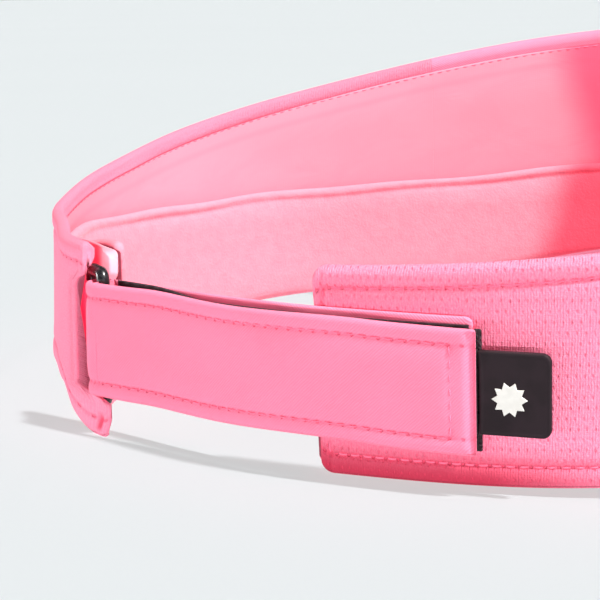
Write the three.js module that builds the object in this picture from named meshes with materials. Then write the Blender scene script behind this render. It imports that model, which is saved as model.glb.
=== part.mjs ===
// Sports sun visor with an open crown: a stiffened front panel and two knit side panels on a sweatband,
// a curved bill, and a hook and loop strap at the rear that turns round a ring in the left band end.
// Millimetres, +Z up, +Y towards the bill, +X towards the wearer's right, standing on its lower edge.

import * as THREE from 'three';

const degrees = THREE.MathUtils.degToRad;
const { lerp, smoothstep } = THREE.MathUtils;

// ---- Driving dimensions ----------------------------------------------------------------------------

const GAP = 0.3; // space kept between sewn layers that touch

// Plan of the band: a ring of mean radius R, a little longer than wide, narrow at the front and flat at
// the rear, with a tighter rear left corner where the band end turns towards the ring.
const PLAN_RADIUS = 93;
const PLAN_LENGTHENING = 0.03;
const PLAN_EGG = 0.053;
const PLAN_CORNERS = 0.018;
const PLAN_REAR_SKEW = 0.04;

const REAR_HEIGHT = 38.5; // band height at the rear ends
const FRONT_HEIGHT = 67; // height of the top edge over the tilted base plane at the front
const HEIGHT_GROWTH = 1.28; // how late the band grows taller from rear to front
const BASE_TILT = 0.06; // rise of the base plane per millimetre forward
const BASE_START = -92; // where the base plane meets the table
const FRONT_ARCH = 8; // extra rise of the front lower edge over the bill
const FRONT_ARCH_SPAN = 60; // degrees either side of the front centre
const LEFT_RISE = 7; // the lower edge is cut up on the left, beside the foot of the tail
const FLARE = 0.088; // outward lean of the band per millimetre of height
const FLARE_FADE_FROM = -42; // the lean dies away towards the left end, which stands upright
const FLARE_FADE_TO = -24;
const LEFT_BULGE = 5.5; // outward bulge of the lower edge at the rear left corner
const LEFT_BULGE_AT = -50;
const LEFT_BULGE_WIDTH = 19;

const RIGHT_END = 19; // degrees round from the rear centre
const LEFT_END = -15.6;
const PANEL_SEAM = 128; // side panels meet the front panel here, both sides
const SEAM_GAP = 0.2; // degrees

const SHELL_THICKNESS = 1.0;
const LINING_OUTSIDE = -SHELL_THICKNESS - GAP;
const LINING_INSIDE = LINING_OUTSIDE - 0.8;
const FOAM_OUTSIDE = LINING_INSIDE - GAP;
const FOAM_INSIDE = FOAM_OUTSIDE - 1.2;
const SWEATBAND_OUTSIDE = FOAM_INSIDE - GAP;
const SWEATBAND_INSIDE = SWEATBAND_OUTSIDE - 1.0;
const SWEATBAND_HEIGHT = 28.2; // least height over the base plane
const SWEATBAND_CLIMB = 5; // how much higher it stands near the left end
const SWEATBAND_FRONT_CLIMB = 1.4; // and from the front round the right side
const SWEATBAND_LEFT_END = -32;
const SWEATBAND_RIGHT_END = 21;

// The left band end opens into a pocket that holds the ring's fixed bar.
const POCKET_START = -31; // degrees, where the two layers begin to part
const POCKET_FULL = -22.5;
const POCKET_OUTWARD = 3.3; // how far the shell moves out
const POCKET_INWARD = 2.0; // how far the lining moves in
const POCKET_FOOT = 1.6; // both layers meet this far out at the lower edge
const POCKET_FOOT_SHARE = 0.12; // share of the height over which the foot closes

const RING_WIRE_RADIUS = 1.3;
const RING_BAR = new THREE.Vector2(-22.3, -94.1); // the bar that the strap turns round
const RING_FIXED_BAR = new THREE.Vector2(-29.1, -91.6); // the bar in the pocket
const RING_LOW = 6.6;
const RING_HIGH = 32.6;
const RING_CORNER = 1.6;

const KEEPER_INSIDE = RING_WIRE_RADIUS + GAP;
const KEEPER_THICKNESS = 0.5;
const KEEPER_LEG = 5;
const KEEPER_LOW = 8.6;
const KEEPER_HIGH = 30.4;

const STRAP_WIDTH = 22.8;
const STRAP_THICKNESS = 0.9;
const TAPE_THICKNESS = 0.7;
const STRAP_LOW = 8.4; // lower edge of the strap at the ring
const STRAP_SEWN_RISE = 0.8; // the sewn layer sits this much higher than the free one over the band
const STRAP_DROOP = 0.5; // the free layer's end hangs this much lower
const STRAP_TURN_RADIUS = 2.55; // centre line of the U turn round the ring's bar
const STRAP_FOLD_LEG = 1.5;
const STRAP_ARRIVAL = 36; // arc length from the rear centre where the strap lies on the band
const STRAP_END = 61.2; // arc length of the free end
const STRAP_SEWN_END = 60;
const LAYER_SPREAD = 1.8; // half the distance between the two strap layers over the band
const STRAP_MIDDLE = GAP + STRAP_THICKNESS / 2 + LAYER_SPREAD; // from the shell to midway between them
const HOOK_LENGTH = 40; // back from the free end
const LOOP_START = 4; // from the ring's bar

const TAB_LENGTH = 12.5;
const TAB_HEIGHT = 15;
const TAB_THICKNESS = 1.4;
const TAB_LOW = 11.8;
const TAB_CORNER = 1.6;
const TAB_BEVEL = 0.25;
const TAB_OFFSET = 3.3; // from the shell's outer face to the tab's middle plane
const TAB_ROOT_LENGTH = 7;
const TAB_ROOT_THICKNESS = 0.4;
const EMBLEM_POINTS = 10;
const EMBLEM_TIP = 3.1;
const EMBLEM_VALLEY = 2.2;
const EMBLEM_THICKNESS = 0.4;
const EMBLEM_GAP = 0.12;

const BILL_SPAN = 67; // degrees either side of the front centre
const BILL_USED_SPAN = 0.97; // the sheet stops this share short of its pointed corners
const BILL_BOARD_SPAN = 0.94;
const BILL_SEAM_OFFSET = 1.4; // from the side shell's outer face
const BILL_TIP_Y = 174;
const BILL_TIP_Z = 16.5;
const BILL_SHOULDER = new THREE.Vector3(98, 98, -11); // pull of the edge curve at the side
const BILL_FRONT_PULL = 52;
const BILL_BOARD_HALF = 0.9;
const BILL_COVER_INSIDE = BILL_BOARD_HALF + GAP;
const BILL_COVER_OUTSIDE = BILL_COVER_INSIDE + 0.8;
const BILL_RIM = 2.5; // covers pass the board by this much

// ---- Finishes ----------------------------------------------------------------------------------------

const material = (color, roughness) => new THREE.MeshStandardMaterial({ color, roughness, metalness: 0 });
const FINISH = {
  knit: material(0xfa96b8, 0.85),
  twill: material(0xff8cb0, 0.8),
  lining: material(0xfea9c0, 0.85),
  sweatband: material(0xfeb5c9, 0.9),
  foam: material(0xf2f0ea, 0.95),
  buckram: material(0xf4f2ee, 0.8),
  board: material(0xe9e9e6, 0.5),
  hook: material(0x1c1518, 0.9),
  rubber: material(0x342d29, 0.6),
  plastic: material(0x17161a, 0.25),
  emblem: material(0xe1ded8, 0.6),
};

// ---- Geometry helpers --------------------------------------------------------------------------------

// A sheet with thickness: a grid of columns by rows with an inner and an outer side, closed at its rims.
function gridSolid(columns, rows, pointAt) {
  const positions = [];
  const indices = [];
  const vertex = (column, row, side) => (column * (rows + 1) + row) * 2 + side;
  for (let column = 0; column <= columns; column++) {
    for (let row = 0; row <= rows; row++) {
      for (const side of [0, 1]) positions.push(...pointAt(column, row, side).toArray());
    }
  }
  const quad = (a, b, c, d) => indices.push(a, b, c, a, c, d);
  for (let c = 0; c < columns; c++) {
    for (let r = 0; r < rows; r++) {
      quad(vertex(c, r, 1), vertex(c + 1, r, 1), vertex(c + 1, r + 1, 1), vertex(c, r + 1, 1));
      quad(vertex(c, r, 0), vertex(c, r + 1, 0), vertex(c + 1, r + 1, 0), vertex(c + 1, r, 0));
    }
    quad(vertex(c, 0, 0), vertex(c + 1, 0, 0), vertex(c + 1, 0, 1), vertex(c, 0, 1));
    quad(vertex(c, rows, 0), vertex(c, rows, 1), vertex(c + 1, rows, 1), vertex(c + 1, rows, 0));
  }
  for (let r = 0; r < rows; r++) {
    quad(vertex(0, r, 0), vertex(0, r, 1), vertex(0, r + 1, 1), vertex(0, r + 1, 0));
    quad(vertex(columns, r, 0), vertex(columns, r + 1, 0), vertex(columns, r + 1, 1), vertex(columns, r, 1));
  }
  return facingOut(positions, indices);
}

// Builds the geometry, turning every triangle round if the solid would be inside out.
function facingOut(positions, indices) {
  const corner = (i) => new THREE.Vector3().fromArray(positions, indices[i] * 3);
  let volume = 0;
  for (let i = 0; i < indices.length; i += 3) {
    volume += corner(i).dot(corner(i + 1).cross(corner(i + 2)));
  }
  const ordered = volume > 0 ? indices : indices.slice().reverse();
  const geometry = new THREE.BufferGeometry();
  geometry.setAttribute('position', new THREE.Float32BufferAttribute(positions, 3));
  geometry.setIndex(ordered);
  geometry.computeVertexNormals();
  return geometry;
}

const constant = (value) => () => value;

// A ribbon standing on edge along a plan path. path(t) gives a point and its outward normal, inner and
// outer are offsets along that normal, and lean adds an offset that depends on the height.
function ribbonSolid({ path, columns, rows = [0, 1], inner, outer, low, high, lean = constant(0) }) {
  return gridSolid(columns, rows.length - 1, (column, row, side) => {
    const t = column / columns;
    const share = rows[row];
    const { point, normal } = path(t);
    const z = lerp(low(t), high(t), share);
    const offset = (side ? outer(t, share) : inner(t, share)) + lean(t, z);
    return new THREE.Vector3(point.x + normal.x * offset, point.y + normal.y * offset, z);
  });
}

// ---- The band's shape --------------------------------------------------------------------------------

// Angle 0 is the rear centre and grows towards the wearer's right.
function planPoint(angle) {
  const a = degrees(angle);
  const rearShare = (1 + Math.cos(a)) / 2;
  const radius =
    PLAN_RADIUS *
    (1 +
      PLAN_LENGTHENING * Math.cos(2 * a) -
      PLAN_EGG * Math.cos(3 * a) +
      PLAN_CORNERS * Math.cos(4 * a) -
      PLAN_REAR_SKEW * rearShare * Math.sin(4 * a));
  return new THREE.Vector2(radius * Math.sin(a), -radius * Math.cos(a));
}

function planFrame(angle) {
  const step = 0.01;
  const tangent = planPoint(angle + step).sub(planPoint(angle - step)).normalize();
  return { point: planPoint(angle), tangent, normal: new THREE.Vector2(tangent.y, -tangent.x) };
}

// The angle at an arc length from the rear centre, positive towards the wearer's right.
function angleAtArc(arc) {
  const step = 0.05;
  let angle = 0;
  let walked = 0;
  while (walked < Math.abs(arc)) {
    const next = angle + Math.sign(arc) * step;
    walked += planPoint(next).distanceTo(planPoint(angle));
    angle = next;
  }
  return angle;
}

const frontShare = (angle) => (1 - Math.cos(degrees(angle))) / 2;
const basePlane = (angle) => BASE_TILT * (planPoint(angle).y - BASE_START);
const topEdge = (angle) =>
  basePlane(angle) + REAR_HEIGHT + (FRONT_HEIGHT - REAR_HEIGHT) * frontShare(angle) ** HEIGHT_GROWTH;

function lowerEdge(angle) {
  const fromFront = 180 - Math.abs(angle);
  const arch = fromFront < FRONT_ARCH_SPAN ? Math.cos(degrees((90 * fromFront) / FRONT_ARCH_SPAN)) ** 2 : 0;
  const rise = LEFT_RISE * (1 - smoothstep(angle, -22, -15.8)) * smoothstep(angle, -80, -45);
  return basePlane(angle) + FRONT_ARCH * arch + rise;
}

// Height of the sweatband's upper edge over the base plane. The angle runs from 0 to 360.
function sweatbandHeight(angle) {
  const leftClimb = SWEATBAND_CLIMB * smoothstep(angle, 258, 322);
  return SWEATBAND_HEIGHT + leftClimb + SWEATBAND_FRONT_CLIMB * (1 - smoothstep(angle, 200, 222));
}

// Offset of the band's surface from its plan at a height: the flare, and the bulge at the rear left.
function bandLean(angle, z) {
  const turn = angle > 180 ? angle - 360 : angle;
  const share = (z - lowerEdge(turn)) / (topEdge(turn) - lowerEdge(turn));
  const bulge = LEFT_BULGE * Math.exp(-(((turn - LEFT_BULGE_AT) / LEFT_BULGE_WIDTH) ** 2));
  const upright = turn < 0 ? smoothstep(turn, FLARE_FADE_FROM, FLARE_FADE_TO) : 0;
  return FLARE * (1 - upright) * (z - basePlane(turn)) + bulge * (1 - share);
}

// How far the layers of the left band end have parted, from 0 to 1.
const pocketShare = (angle) => (angle > 0 || angle < POCKET_START ? 0 : smoothstep(angle, POCKET_START, POCKET_FULL));
const footShare = (share) => smoothstep(share, 0, POCKET_FOOT_SHARE);
const shellShift = (angle, share) => pocketShare(angle) * lerp(POCKET_FOOT, POCKET_OUTWARD, footShare(share));
const liningShift = (angle, share) => pocketShare(angle) * lerp(POCKET_FOOT, -POCKET_INWARD, footShare(share));

const DEGREES_PER_COLUMN = 3.5;
const PLAIN_ROWS = [0, 0.33, 0.67, 1];
const POCKET_ROWS = [0, 0.05, 0.1, 0.4, 0.7, 1];

// One sewn layer of the band between two angles.
function bandLayer({ from, to, inside, outside, low = lowerEdge, high = topEdge, shift, rows = PLAIN_ROWS }) {
  const angleOf = (t) => lerp(from, to, t);
  const moved = (offset) => (t, share) => offset + (shift ? shift(angleOf(t), share) : 0);
  return ribbonSolid({
    path: (t) => planFrame(angleOf(t)),
    columns: Math.ceil(Math.abs(to - from) / DEGREES_PER_COLUMN),
    rows,
    inner: moved(inside),
    outer: moved(outside),
    low: (t) => low(angleOf(t)),
    high: (t) => high(angleOf(t)),
    lean: (t, z) => bandLean(angleOf(t), z),
  });
}

const above = (edge, amount) => (angle) => edge(angle) + amount;

// ---- Shell, lining and sweatband ---------------------------------------------------------------------

const LEFT_SEAM = -PANEL_SEAM;
const FRONT_FROM = PANEL_SEAM + SEAM_GAP;
const FRONT_TO = 360 - FRONT_FROM;
const FRONT_SHELL_INSIDE = 0.1; // the stiffened front stands a little proud of the side panels
const FRONT_SHELL_OUTSIDE = FRONT_SHELL_INSIDE + SHELL_THICKNESS;
const STIFFENER_OUTSIDE = FRONT_SHELL_INSIDE - GAP;
const STIFFENER_INSIDE = STIFFENER_OUTSIDE - 0.7;
const HEM = 1.2; // inner layers stay this far inside the shell's edges

// Angles past the front centre continue beyond 180, so the edges are read on the matching negative angle.
const wrapped = (edge) => (angle) => edge(angle > 180 ? angle - 360 : angle);
const frontLow = wrapped(lowerEdge);
const frontHigh = wrapped(topEdge);

function frontLayer(inside, outside, hem) {
  return bandLayer({
    from: FRONT_FROM,
    to: FRONT_TO,
    inside,
    outside,
    low: above(frontLow, hem),
    high: above(frontHigh, -hem),
  });
}

function sideLayer({ end, seam, inside, outside, hem, shift }) {
  return bandLayer({
    from: end,
    to: seam,
    inside,
    outside,
    shift,
    low: above(lowerEdge, hem),
    high: above(topEdge, -hem),
    rows: shift ? POCKET_ROWS : PLAIN_ROWS,
  });
}

function sweatbandLayer(inside, outside, lowHem, highHem) {
  return bandLayer({
    from: SWEATBAND_RIGHT_END,
    to: 360 + SWEATBAND_LEFT_END,
    inside,
    outside,
    low: above(frontLow, lowHem),
    high: (angle) => wrapped(basePlane)(angle) + sweatbandHeight(angle) - highHem,
  });
}

// ---- Bill --------------------------------------------------------------------------------------------

// Across runs from -1 at the left corner to 1 at the right one, and out from 0 at the seam to 1 at the edge.
function billSeam(across) {
  const angle = 180 - across * BILL_SPAN;
  const { point, normal } = planFrame(angle);
  const z = frontLow(angle) + BILL_COVER_OUTSIDE;
  const seam = point.clone().addScaledVector(normal, BILL_SEAM_OFFSET + FLARE * (z - wrapped(basePlane)(angle)));
  return new THREE.Vector3(seam.x, seam.y, z);
}

function billEdge(across) {
  const side = Math.sign(across) || 1;
  const corner = billSeam(side);
  const edge = new THREE.CubicBezierCurve3(
    new THREE.Vector3(0, BILL_TIP_Y, BILL_TIP_Z),
    new THREE.Vector3(side * BILL_FRONT_PULL, BILL_TIP_Y, BILL_TIP_Z),
    new THREE.Vector3(side * BILL_SHOULDER.x, BILL_SHOULDER.y, BILL_SHOULDER.z),
    corner,
  );
  return edge.getPoint(Math.abs(across));
}

// The board's outer edge as a share of the way out, measured back from the rim.
const boardShare = (across) => Math.max(0.2, 1 - BILL_RIM / billSeam(across).distanceTo(billEdge(across)));

const BILL_COLUMNS = 44;

// A layer of the bill. Each row is a share of the way to the board's edge, or 'rim' beyond it.
function billLayer({ span, rows, under, over }) {
  return gridSolid(BILL_COLUMNS, rows.length - 1, (column, row, side) => {
    const across = lerp(-span, span, column / BILL_COLUMNS);
    const { share, pastBoard, turned } = rows[row];
    const out = share * boardShare(across) + pastBoard * (1 - boardShare(across));
    const point = billSeam(across).lerp(billEdge(across), out);
    point.z += side ? over : turned ?? under;
    return point;
  });
}

const BILL_SHARES = [0, 0.33, 0.67, 1];
const boardRows = BILL_SHARES.map((share) => ({ share, pastBoard: 0 }));
const STEP_START = 0.2; // shares of the rim between the board's edge and the turned down wall
const STEP_END = 0.25;

// The top cover's rim turns down past the board to the under cover.
const topCoverRows = [
  ...boardRows,
  { share: 1, pastBoard: STEP_START },
  { share: 1, pastBoard: STEP_END, turned: -BILL_COVER_INSIDE + GAP },
  { share: 1, pastBoard: 1, turned: -BILL_COVER_INSIDE + GAP },
];
const underCoverRows = [...boardRows, { share: 1, pastBoard: 1 }];

// ---- Ring and its keeper -----------------------------------------------------------------------------

// A closed rod of round section along a flat closed path.
function closedRod(path, radius, planeNormal, sides) {
  const positions = [];
  const indices = [];
  const count = path.length;
  path.forEach((point, i) => {
    const ahead = path[(i + 1) % count].clone().sub(path[(i + count - 1) % count]).normalize();
    const sideways = new THREE.Vector3().crossVectors(planeNormal, ahead);
    for (let s = 0; s < sides; s++) {
      const turn = (2 * Math.PI * s) / sides;
      const spoke = sideways.clone().multiplyScalar(Math.cos(turn) * radius);
      spoke.addScaledVector(planeNormal, Math.sin(turn) * radius);
      positions.push(...point.clone().add(spoke).toArray());
    }
  });
  for (let i = 0; i < count; i++) {
    for (let s = 0; s < sides; s++) {
      const here = i * sides;
      const next = ((i + 1) % count) * sides;
      const after = (s + 1) % sides;
      indices.push(here + s, here + after, next + after, here + s, next + after, next + s);
    }
  }
  return facingOut(positions, indices);
}

function strapRing() {
  const across = RING_BAR.clone().sub(RING_FIXED_BAR);
  const width = across.length();
  across.normalize();
  const outline = new THREE.Shape();
  const r = RING_CORNER;
  outline.moveTo(0, RING_LOW + r);
  outline.lineTo(0, RING_HIGH - r);
  outline.absarc(r, RING_HIGH - r, r, Math.PI, Math.PI / 2, true);
  outline.lineTo(width - r, RING_HIGH);
  outline.absarc(width - r, RING_HIGH - r, r, Math.PI / 2, 0, true);
  outline.lineTo(width, RING_LOW + r);
  outline.absarc(width - r, RING_LOW + r, r, 0, -Math.PI / 2, true);
  outline.lineTo(r, RING_LOW);
  outline.absarc(r, RING_LOW + r, r, -Math.PI / 2, -Math.PI, true);
  const flat = outline.getPoints(5);
  const clean = flat.filter((p, i) => p.distanceTo(flat[(i + 1) % flat.length]) > 1e-6);
  const path = clean.map(
    (p) => new THREE.Vector3(RING_FIXED_BAR.x + across.x * p.x, RING_FIXED_BAR.y + across.y * p.x, p.y),
  );
  return closedRod(path, RING_WIRE_RADIUS, new THREE.Vector3(across.y, -across.x, 0), 12);
}

// A plan path that turns half round a centre, with a straight leg at each end. Its mouth faces along
// direction, and its normals point away from the centre.
function uTurnPath(centre, direction, radius, leg) {
  const side = new THREE.Vector2(direction.y, -direction.x);
  const arc = Math.PI * radius;
  const total = arc + 2 * leg;
  return (t) => {
    const along = t * total;
    const turned = THREE.MathUtils.clamp((along - leg) / arc, 0, 1) * Math.PI;
    const normal = side.clone().multiplyScalar(Math.cos(turned)).addScaledVector(direction, -Math.sin(turned));
    const point = centre.clone().addScaledVector(normal, radius);
    if (along < leg) point.addScaledVector(direction, leg - along);
    if (along > leg + arc) point.addScaledVector(direction, along - leg - arc);
    return { point, normal };
  };
}

const U_TURN_COLUMNS = 16;

function ringKeeper() {
  const { tangent } = planFrame(-18);
  return ribbonSolid({
    path: uTurnPath(RING_FIXED_BAR, tangent.clone().negate(), KEEPER_INSIDE, KEEPER_LEG),
    columns: U_TURN_COLUMNS,
    inner: constant(0),
    outer: constant(KEEPER_THICKNESS),
    low: constant(KEEPER_LOW),
    high: constant(KEEPER_HIGH),
  });
}

// ---- Strap -------------------------------------------------------------------------------------------

const STRAP_HEADING = new THREE.Vector2(0.99, 0.13).normalize(); // leaving the ring's bar

// The line midway between the two strap layers, measured from the ring's bar. It crosses the open rear in
// a smooth curve and then follows the band.
function strapMiddle() {
  const arrival = planFrame(angleAtArc(STRAP_ARRIVAL));
  const landing = arrival.point.clone().addScaledVector(arrival.normal, STRAP_MIDDLE);
  const pull = landing.distanceTo(RING_BAR) / 3;
  const crossing = new THREE.CubicBezierCurve(
    RING_BAR,
    RING_BAR.clone().addScaledVector(STRAP_HEADING, pull),
    landing.clone().addScaledVector(arrival.tangent, -pull),
    landing,
  );
  const crossingLength = crossing.getLength();
  const at = (distance) => {
    if (distance <= crossingLength) {
      const t = Math.max(0, distance) / crossingLength;
      const tangent = crossing.getTangentAt(t);
      return { point: crossing.getPointAt(t), tangent, normal: new THREE.Vector2(tangent.y, -tangent.x) };
    }
    const frame = planFrame(angleAtArc(STRAP_ARRIVAL + distance - crossingLength));
    return { ...frame, point: frame.point.clone().addScaledVector(frame.normal, STRAP_MIDDLE) };
  };
  return { at, crossingLength };
}

const middle = strapMiddle();
const LANDING = middle.crossingLength;
const FREE_LENGTH = LANDING + STRAP_END - STRAP_ARRIVAL;
const SEWN_LENGTH = LANDING + STRAP_SEWN_END - STRAP_ARRIVAL;
const LAYERS_CLOSED = 25; // distance from the ring's bar where the two layers have come together
const LEAN_START = 12;
const LEAN_DONE = LANDING - 7; // the strap leans like the band from its end onwards

const onBand = (distance) => smoothstep(distance, LEAN_START, LEAN_DONE);
const layerSpread = (distance) => lerp(STRAP_TURN_RADIUS, LAYER_SPREAD, smoothstep(distance, 0, LAYERS_CLOSED));
const strapLean = (distance, z) => onBand(distance) * FLARE * z;
const sewnLow = (distance) => STRAP_LOW + STRAP_SEWN_RISE * onBand(distance);
const freeLow = (distance) => STRAP_LOW - STRAP_DROOP * smoothstep(distance, LANDING, FREE_LENGTH);

const SEWN = -1;
const FREE = 1;
const STRAP_MM_PER_COLUMN = 3.5;

// One layer of the strap, or something sewn to it. Near and far are offsets from that layer's centre line,
// positive away from the head.
function strapLayer({ from, to, side, near, far, low, inset = 0, height = STRAP_WIDTH }) {
  const distanceAt = (t) => lerp(from, to, t);
  const centre = (t) => side * layerSpread(distanceAt(t));
  return ribbonSolid({
    path: (t) => middle.at(distanceAt(t)),
    columns: Math.ceil((to - from) / STRAP_MM_PER_COLUMN),
    rows: [0, 0.5, 1],
    inner: (t) => centre(t) + near,
    outer: (t) => centre(t) + far,
    low: (t) => low(distanceAt(t)) + inset,
    high: (t) => low(distanceAt(t)) + height - inset,
    lean: (t, z) => strapLean(distanceAt(t), z),
  });
}

const HALF = STRAP_THICKNESS / 2;
const SEAM = GAP / 2; // space between pieces sewn flat together
const SPLIT = STRAP_FOLD_LEG + GAP; // the layers start just past the U turn's legs
const TAPE_INSET = 0.4;
const ROOT_FAR = -HALF - SEAM;
const ROOT_NEAR = ROOT_FAR - TAB_ROOT_THICKNESS;
const HOOK_FAR = ROOT_NEAR - SEAM;

const strapBase = () =>
  strapLayer({ from: SPLIT, to: SEWN_LENGTH, side: SEWN, near: -HALF, far: HALF, low: sewnLow });

const strapTail = () =>
  strapLayer({ from: SPLIT, to: FREE_LENGTH, side: FREE, near: -HALF, far: HALF, low: freeLow });

function loopTape() {
  const near = HALF + SEAM;
  const far = near + TAPE_THICKNESS;
  const to = SEWN_LENGTH - TAPE_INSET;
  return strapLayer({ from: LOOP_START, to, side: SEWN, near, far, low: sewnLow, inset: TAPE_INSET });
}

function hookTape() {
  const near = HOOK_FAR - TAPE_THICKNESS;
  const from = FREE_LENGTH - HOOK_LENGTH;
  return strapLayer({ from, to: FREE_LENGTH, side: FREE, near, far: HOOK_FAR, low: freeLow, inset: TAPE_INSET });
}

function strapFold() {
  return ribbonSolid({
    path: uTurnPath(RING_BAR, STRAP_HEADING, STRAP_TURN_RADIUS, STRAP_FOLD_LEG),
    columns: U_TURN_COLUMNS,
    inner: constant(-HALF),
    outer: constant(HALF),
    low: constant(STRAP_LOW),
    high: constant(STRAP_LOW + STRAP_WIDTH),
  });
}

// ---- Pull tab ----------------------------------------------------------------------------------------

// The frame of the flat tab: x along the strap, y up its lean, z away from the head.
function tabFrame() {
  const { point, tangent, normal } = middle.at(FREE_LENGTH + GAP);
  const out = TAB_OFFSET - STRAP_MIDDLE + FLARE * TAB_LOW;
  const xAxis = new THREE.Vector3(tangent.x, tangent.y, 0);
  const yAxis = new THREE.Vector3(normal.x * FLARE, normal.y * FLARE, 1).normalize();
  const zAxis = new THREE.Vector3().crossVectors(xAxis, yAxis);
  const place = new THREE.Matrix4().makeBasis(xAxis, yAxis, zAxis);
  place.setPosition(point.x + normal.x * out, point.y + normal.y * out, TAB_LOW);
  return place;
}

function pullTab() {
  const outline = new THREE.Shape();
  const edge = TAB_BEVEL;
  const right = TAB_LENGTH - edge;
  const top = TAB_HEIGHT - edge;
  outline.moveTo(edge, edge);
  outline.lineTo(right - TAB_CORNER, edge);
  outline.absarc(right - TAB_CORNER, edge + TAB_CORNER, TAB_CORNER, -Math.PI / 2, 0, false);
  outline.lineTo(right, top - TAB_CORNER);
  outline.absarc(right - TAB_CORNER, top - TAB_CORNER, TAB_CORNER, 0, Math.PI / 2, false);
  outline.lineTo(edge, top);
  const depth = TAB_THICKNESS - 2 * edge;
  const geometry = new THREE.ExtrudeGeometry(outline, {
    depth,
    curveSegments: 5,
    bevelThickness: edge,
    bevelSize: edge,
    bevelSegments: 1,
  });
  geometry.translate(0, 0, -depth / 2);
  return geometry.applyMatrix4(tabFrame());
}

const tabRoot = () =>
  strapLayer({
    from: FREE_LENGTH - TAB_ROOT_LENGTH,
    to: FREE_LENGTH,
    side: FREE,
    near: ROOT_NEAR,
    far: ROOT_FAR,
    low: constant(TAB_LOW),
    height: TAB_HEIGHT,
  });

// A plain raised sun, low and towards the free side of the tab.
const EMBLEM_ALONG = 5.4;
const EMBLEM_UP = 6.7;

function tabEmblem() {
  const outline = new THREE.Shape();
  for (let i = 0; i < 2 * EMBLEM_POINTS; i++) {
    const reach = i % 2 ? EMBLEM_VALLEY : EMBLEM_TIP;
    const turn = (Math.PI * i) / EMBLEM_POINTS;
    const corner = [EMBLEM_ALONG + reach * Math.cos(turn), EMBLEM_UP + reach * Math.sin(turn)];
    if (i === 0) outline.moveTo(...corner);
    else outline.lineTo(...corner);
  }
  const geometry = new THREE.ExtrudeGeometry(outline, { depth: EMBLEM_THICKNESS, bevelEnabled: false });
  geometry.translate(0, 0, TAB_THICKNESS / 2 + EMBLEM_GAP);
  return geometry.applyMatrix4(tabFrame());
}

// ---- Assembly ----------------------------------------------------------------------------------------

const leftSide = { end: LEFT_END, seam: LEFT_SEAM };
const rightSide = { end: RIGHT_END, seam: PANEL_SEAM };
const shellFaces = { inside: -SHELL_THICKNESS, outside: 0, hem: 0 };
const liningFaces = { inside: LINING_INSIDE, outside: LINING_OUTSIDE, hem: HEM / 2 };

const pieces = {
  shell_front: [frontLayer(FRONT_SHELL_INSIDE, FRONT_SHELL_OUTSIDE, 0), FINISH.twill],
  shell_right: [sideLayer({ ...rightSide, ...shellFaces }), FINISH.knit],
  shell_left: [sideLayer({ ...leftSide, ...shellFaces, shift: shellShift }), FINISH.knit],
  front_stiffener: [frontLayer(STIFFENER_INSIDE, STIFFENER_OUTSIDE, HEM), FINISH.buckram],
  lining_front: [frontLayer(LINING_INSIDE, LINING_OUTSIDE, HEM / 2), FINISH.lining],
  lining_right: [sideLayer({ ...rightSide, ...liningFaces }), FINISH.lining],
  lining_left: [sideLayer({ ...leftSide, ...liningFaces, shift: liningShift }), FINISH.lining],
  sweatband_foam: [sweatbandLayer(FOAM_INSIDE, FOAM_OUTSIDE, 2 * HEM, HEM), FINISH.foam],
  sweatband_cover: [sweatbandLayer(SWEATBAND_INSIDE, SWEATBAND_OUTSIDE, HEM / 2, 0), FINISH.sweatband],
  bill_board: [
    billLayer({ span: BILL_BOARD_SPAN, rows: boardRows, under: -BILL_BOARD_HALF, over: BILL_BOARD_HALF }),
    FINISH.board,
  ],
  bill_top_cover: [
    billLayer({ span: BILL_USED_SPAN, rows: topCoverRows, under: BILL_COVER_INSIDE, over: BILL_COVER_OUTSIDE }),
    FINISH.twill,
  ],
  bill_under_cover: [
    billLayer({ span: BILL_USED_SPAN, rows: underCoverRows, under: -BILL_COVER_OUTSIDE, over: -BILL_COVER_INSIDE }),
    FINISH.twill,
  ],
  ring_keeper: [ringKeeper(), FINISH.twill],
  strap_ring: [strapRing(), FINISH.plastic],
  strap_base: [strapBase(), FINISH.twill],
  loop_tape: [loopTape(), FINISH.hook],
  strap_fold: [strapFold(), FINISH.twill],
  strap_tail: [strapTail(), FINISH.twill],
  hook_tape: [hookTape(), FINISH.hook],
  pull_tab_root: [tabRoot(), FINISH.rubber],
  pull_tab: [pullTab(), FINISH.rubber],
  tab_emblem: [tabEmblem(), FINISH.emblem],
};

const visor = new THREE.Group();
for (const [name, [geometry, finish]] of Object.entries(pieces)) {
  const mesh = new THREE.Mesh(geometry, finish);
  mesh.name = name;
  visor.add(mesh);
}

// The origin is the middle of the visor's footprint, on the table.
const extent = new THREE.Box3().setFromObject(visor);
visor.position.set(-(extent.min.x + extent.max.x) / 2, -(extent.min.y + extent.max.y) / 2, -extent.min.z);

export default visor;
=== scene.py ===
"""Looks for the sun visor: soft panels, strap, bill, stitching and materials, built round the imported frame."""

import math
from functools import reduce

import bpy
import numpy as np
from mathutils import Matrix


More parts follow.
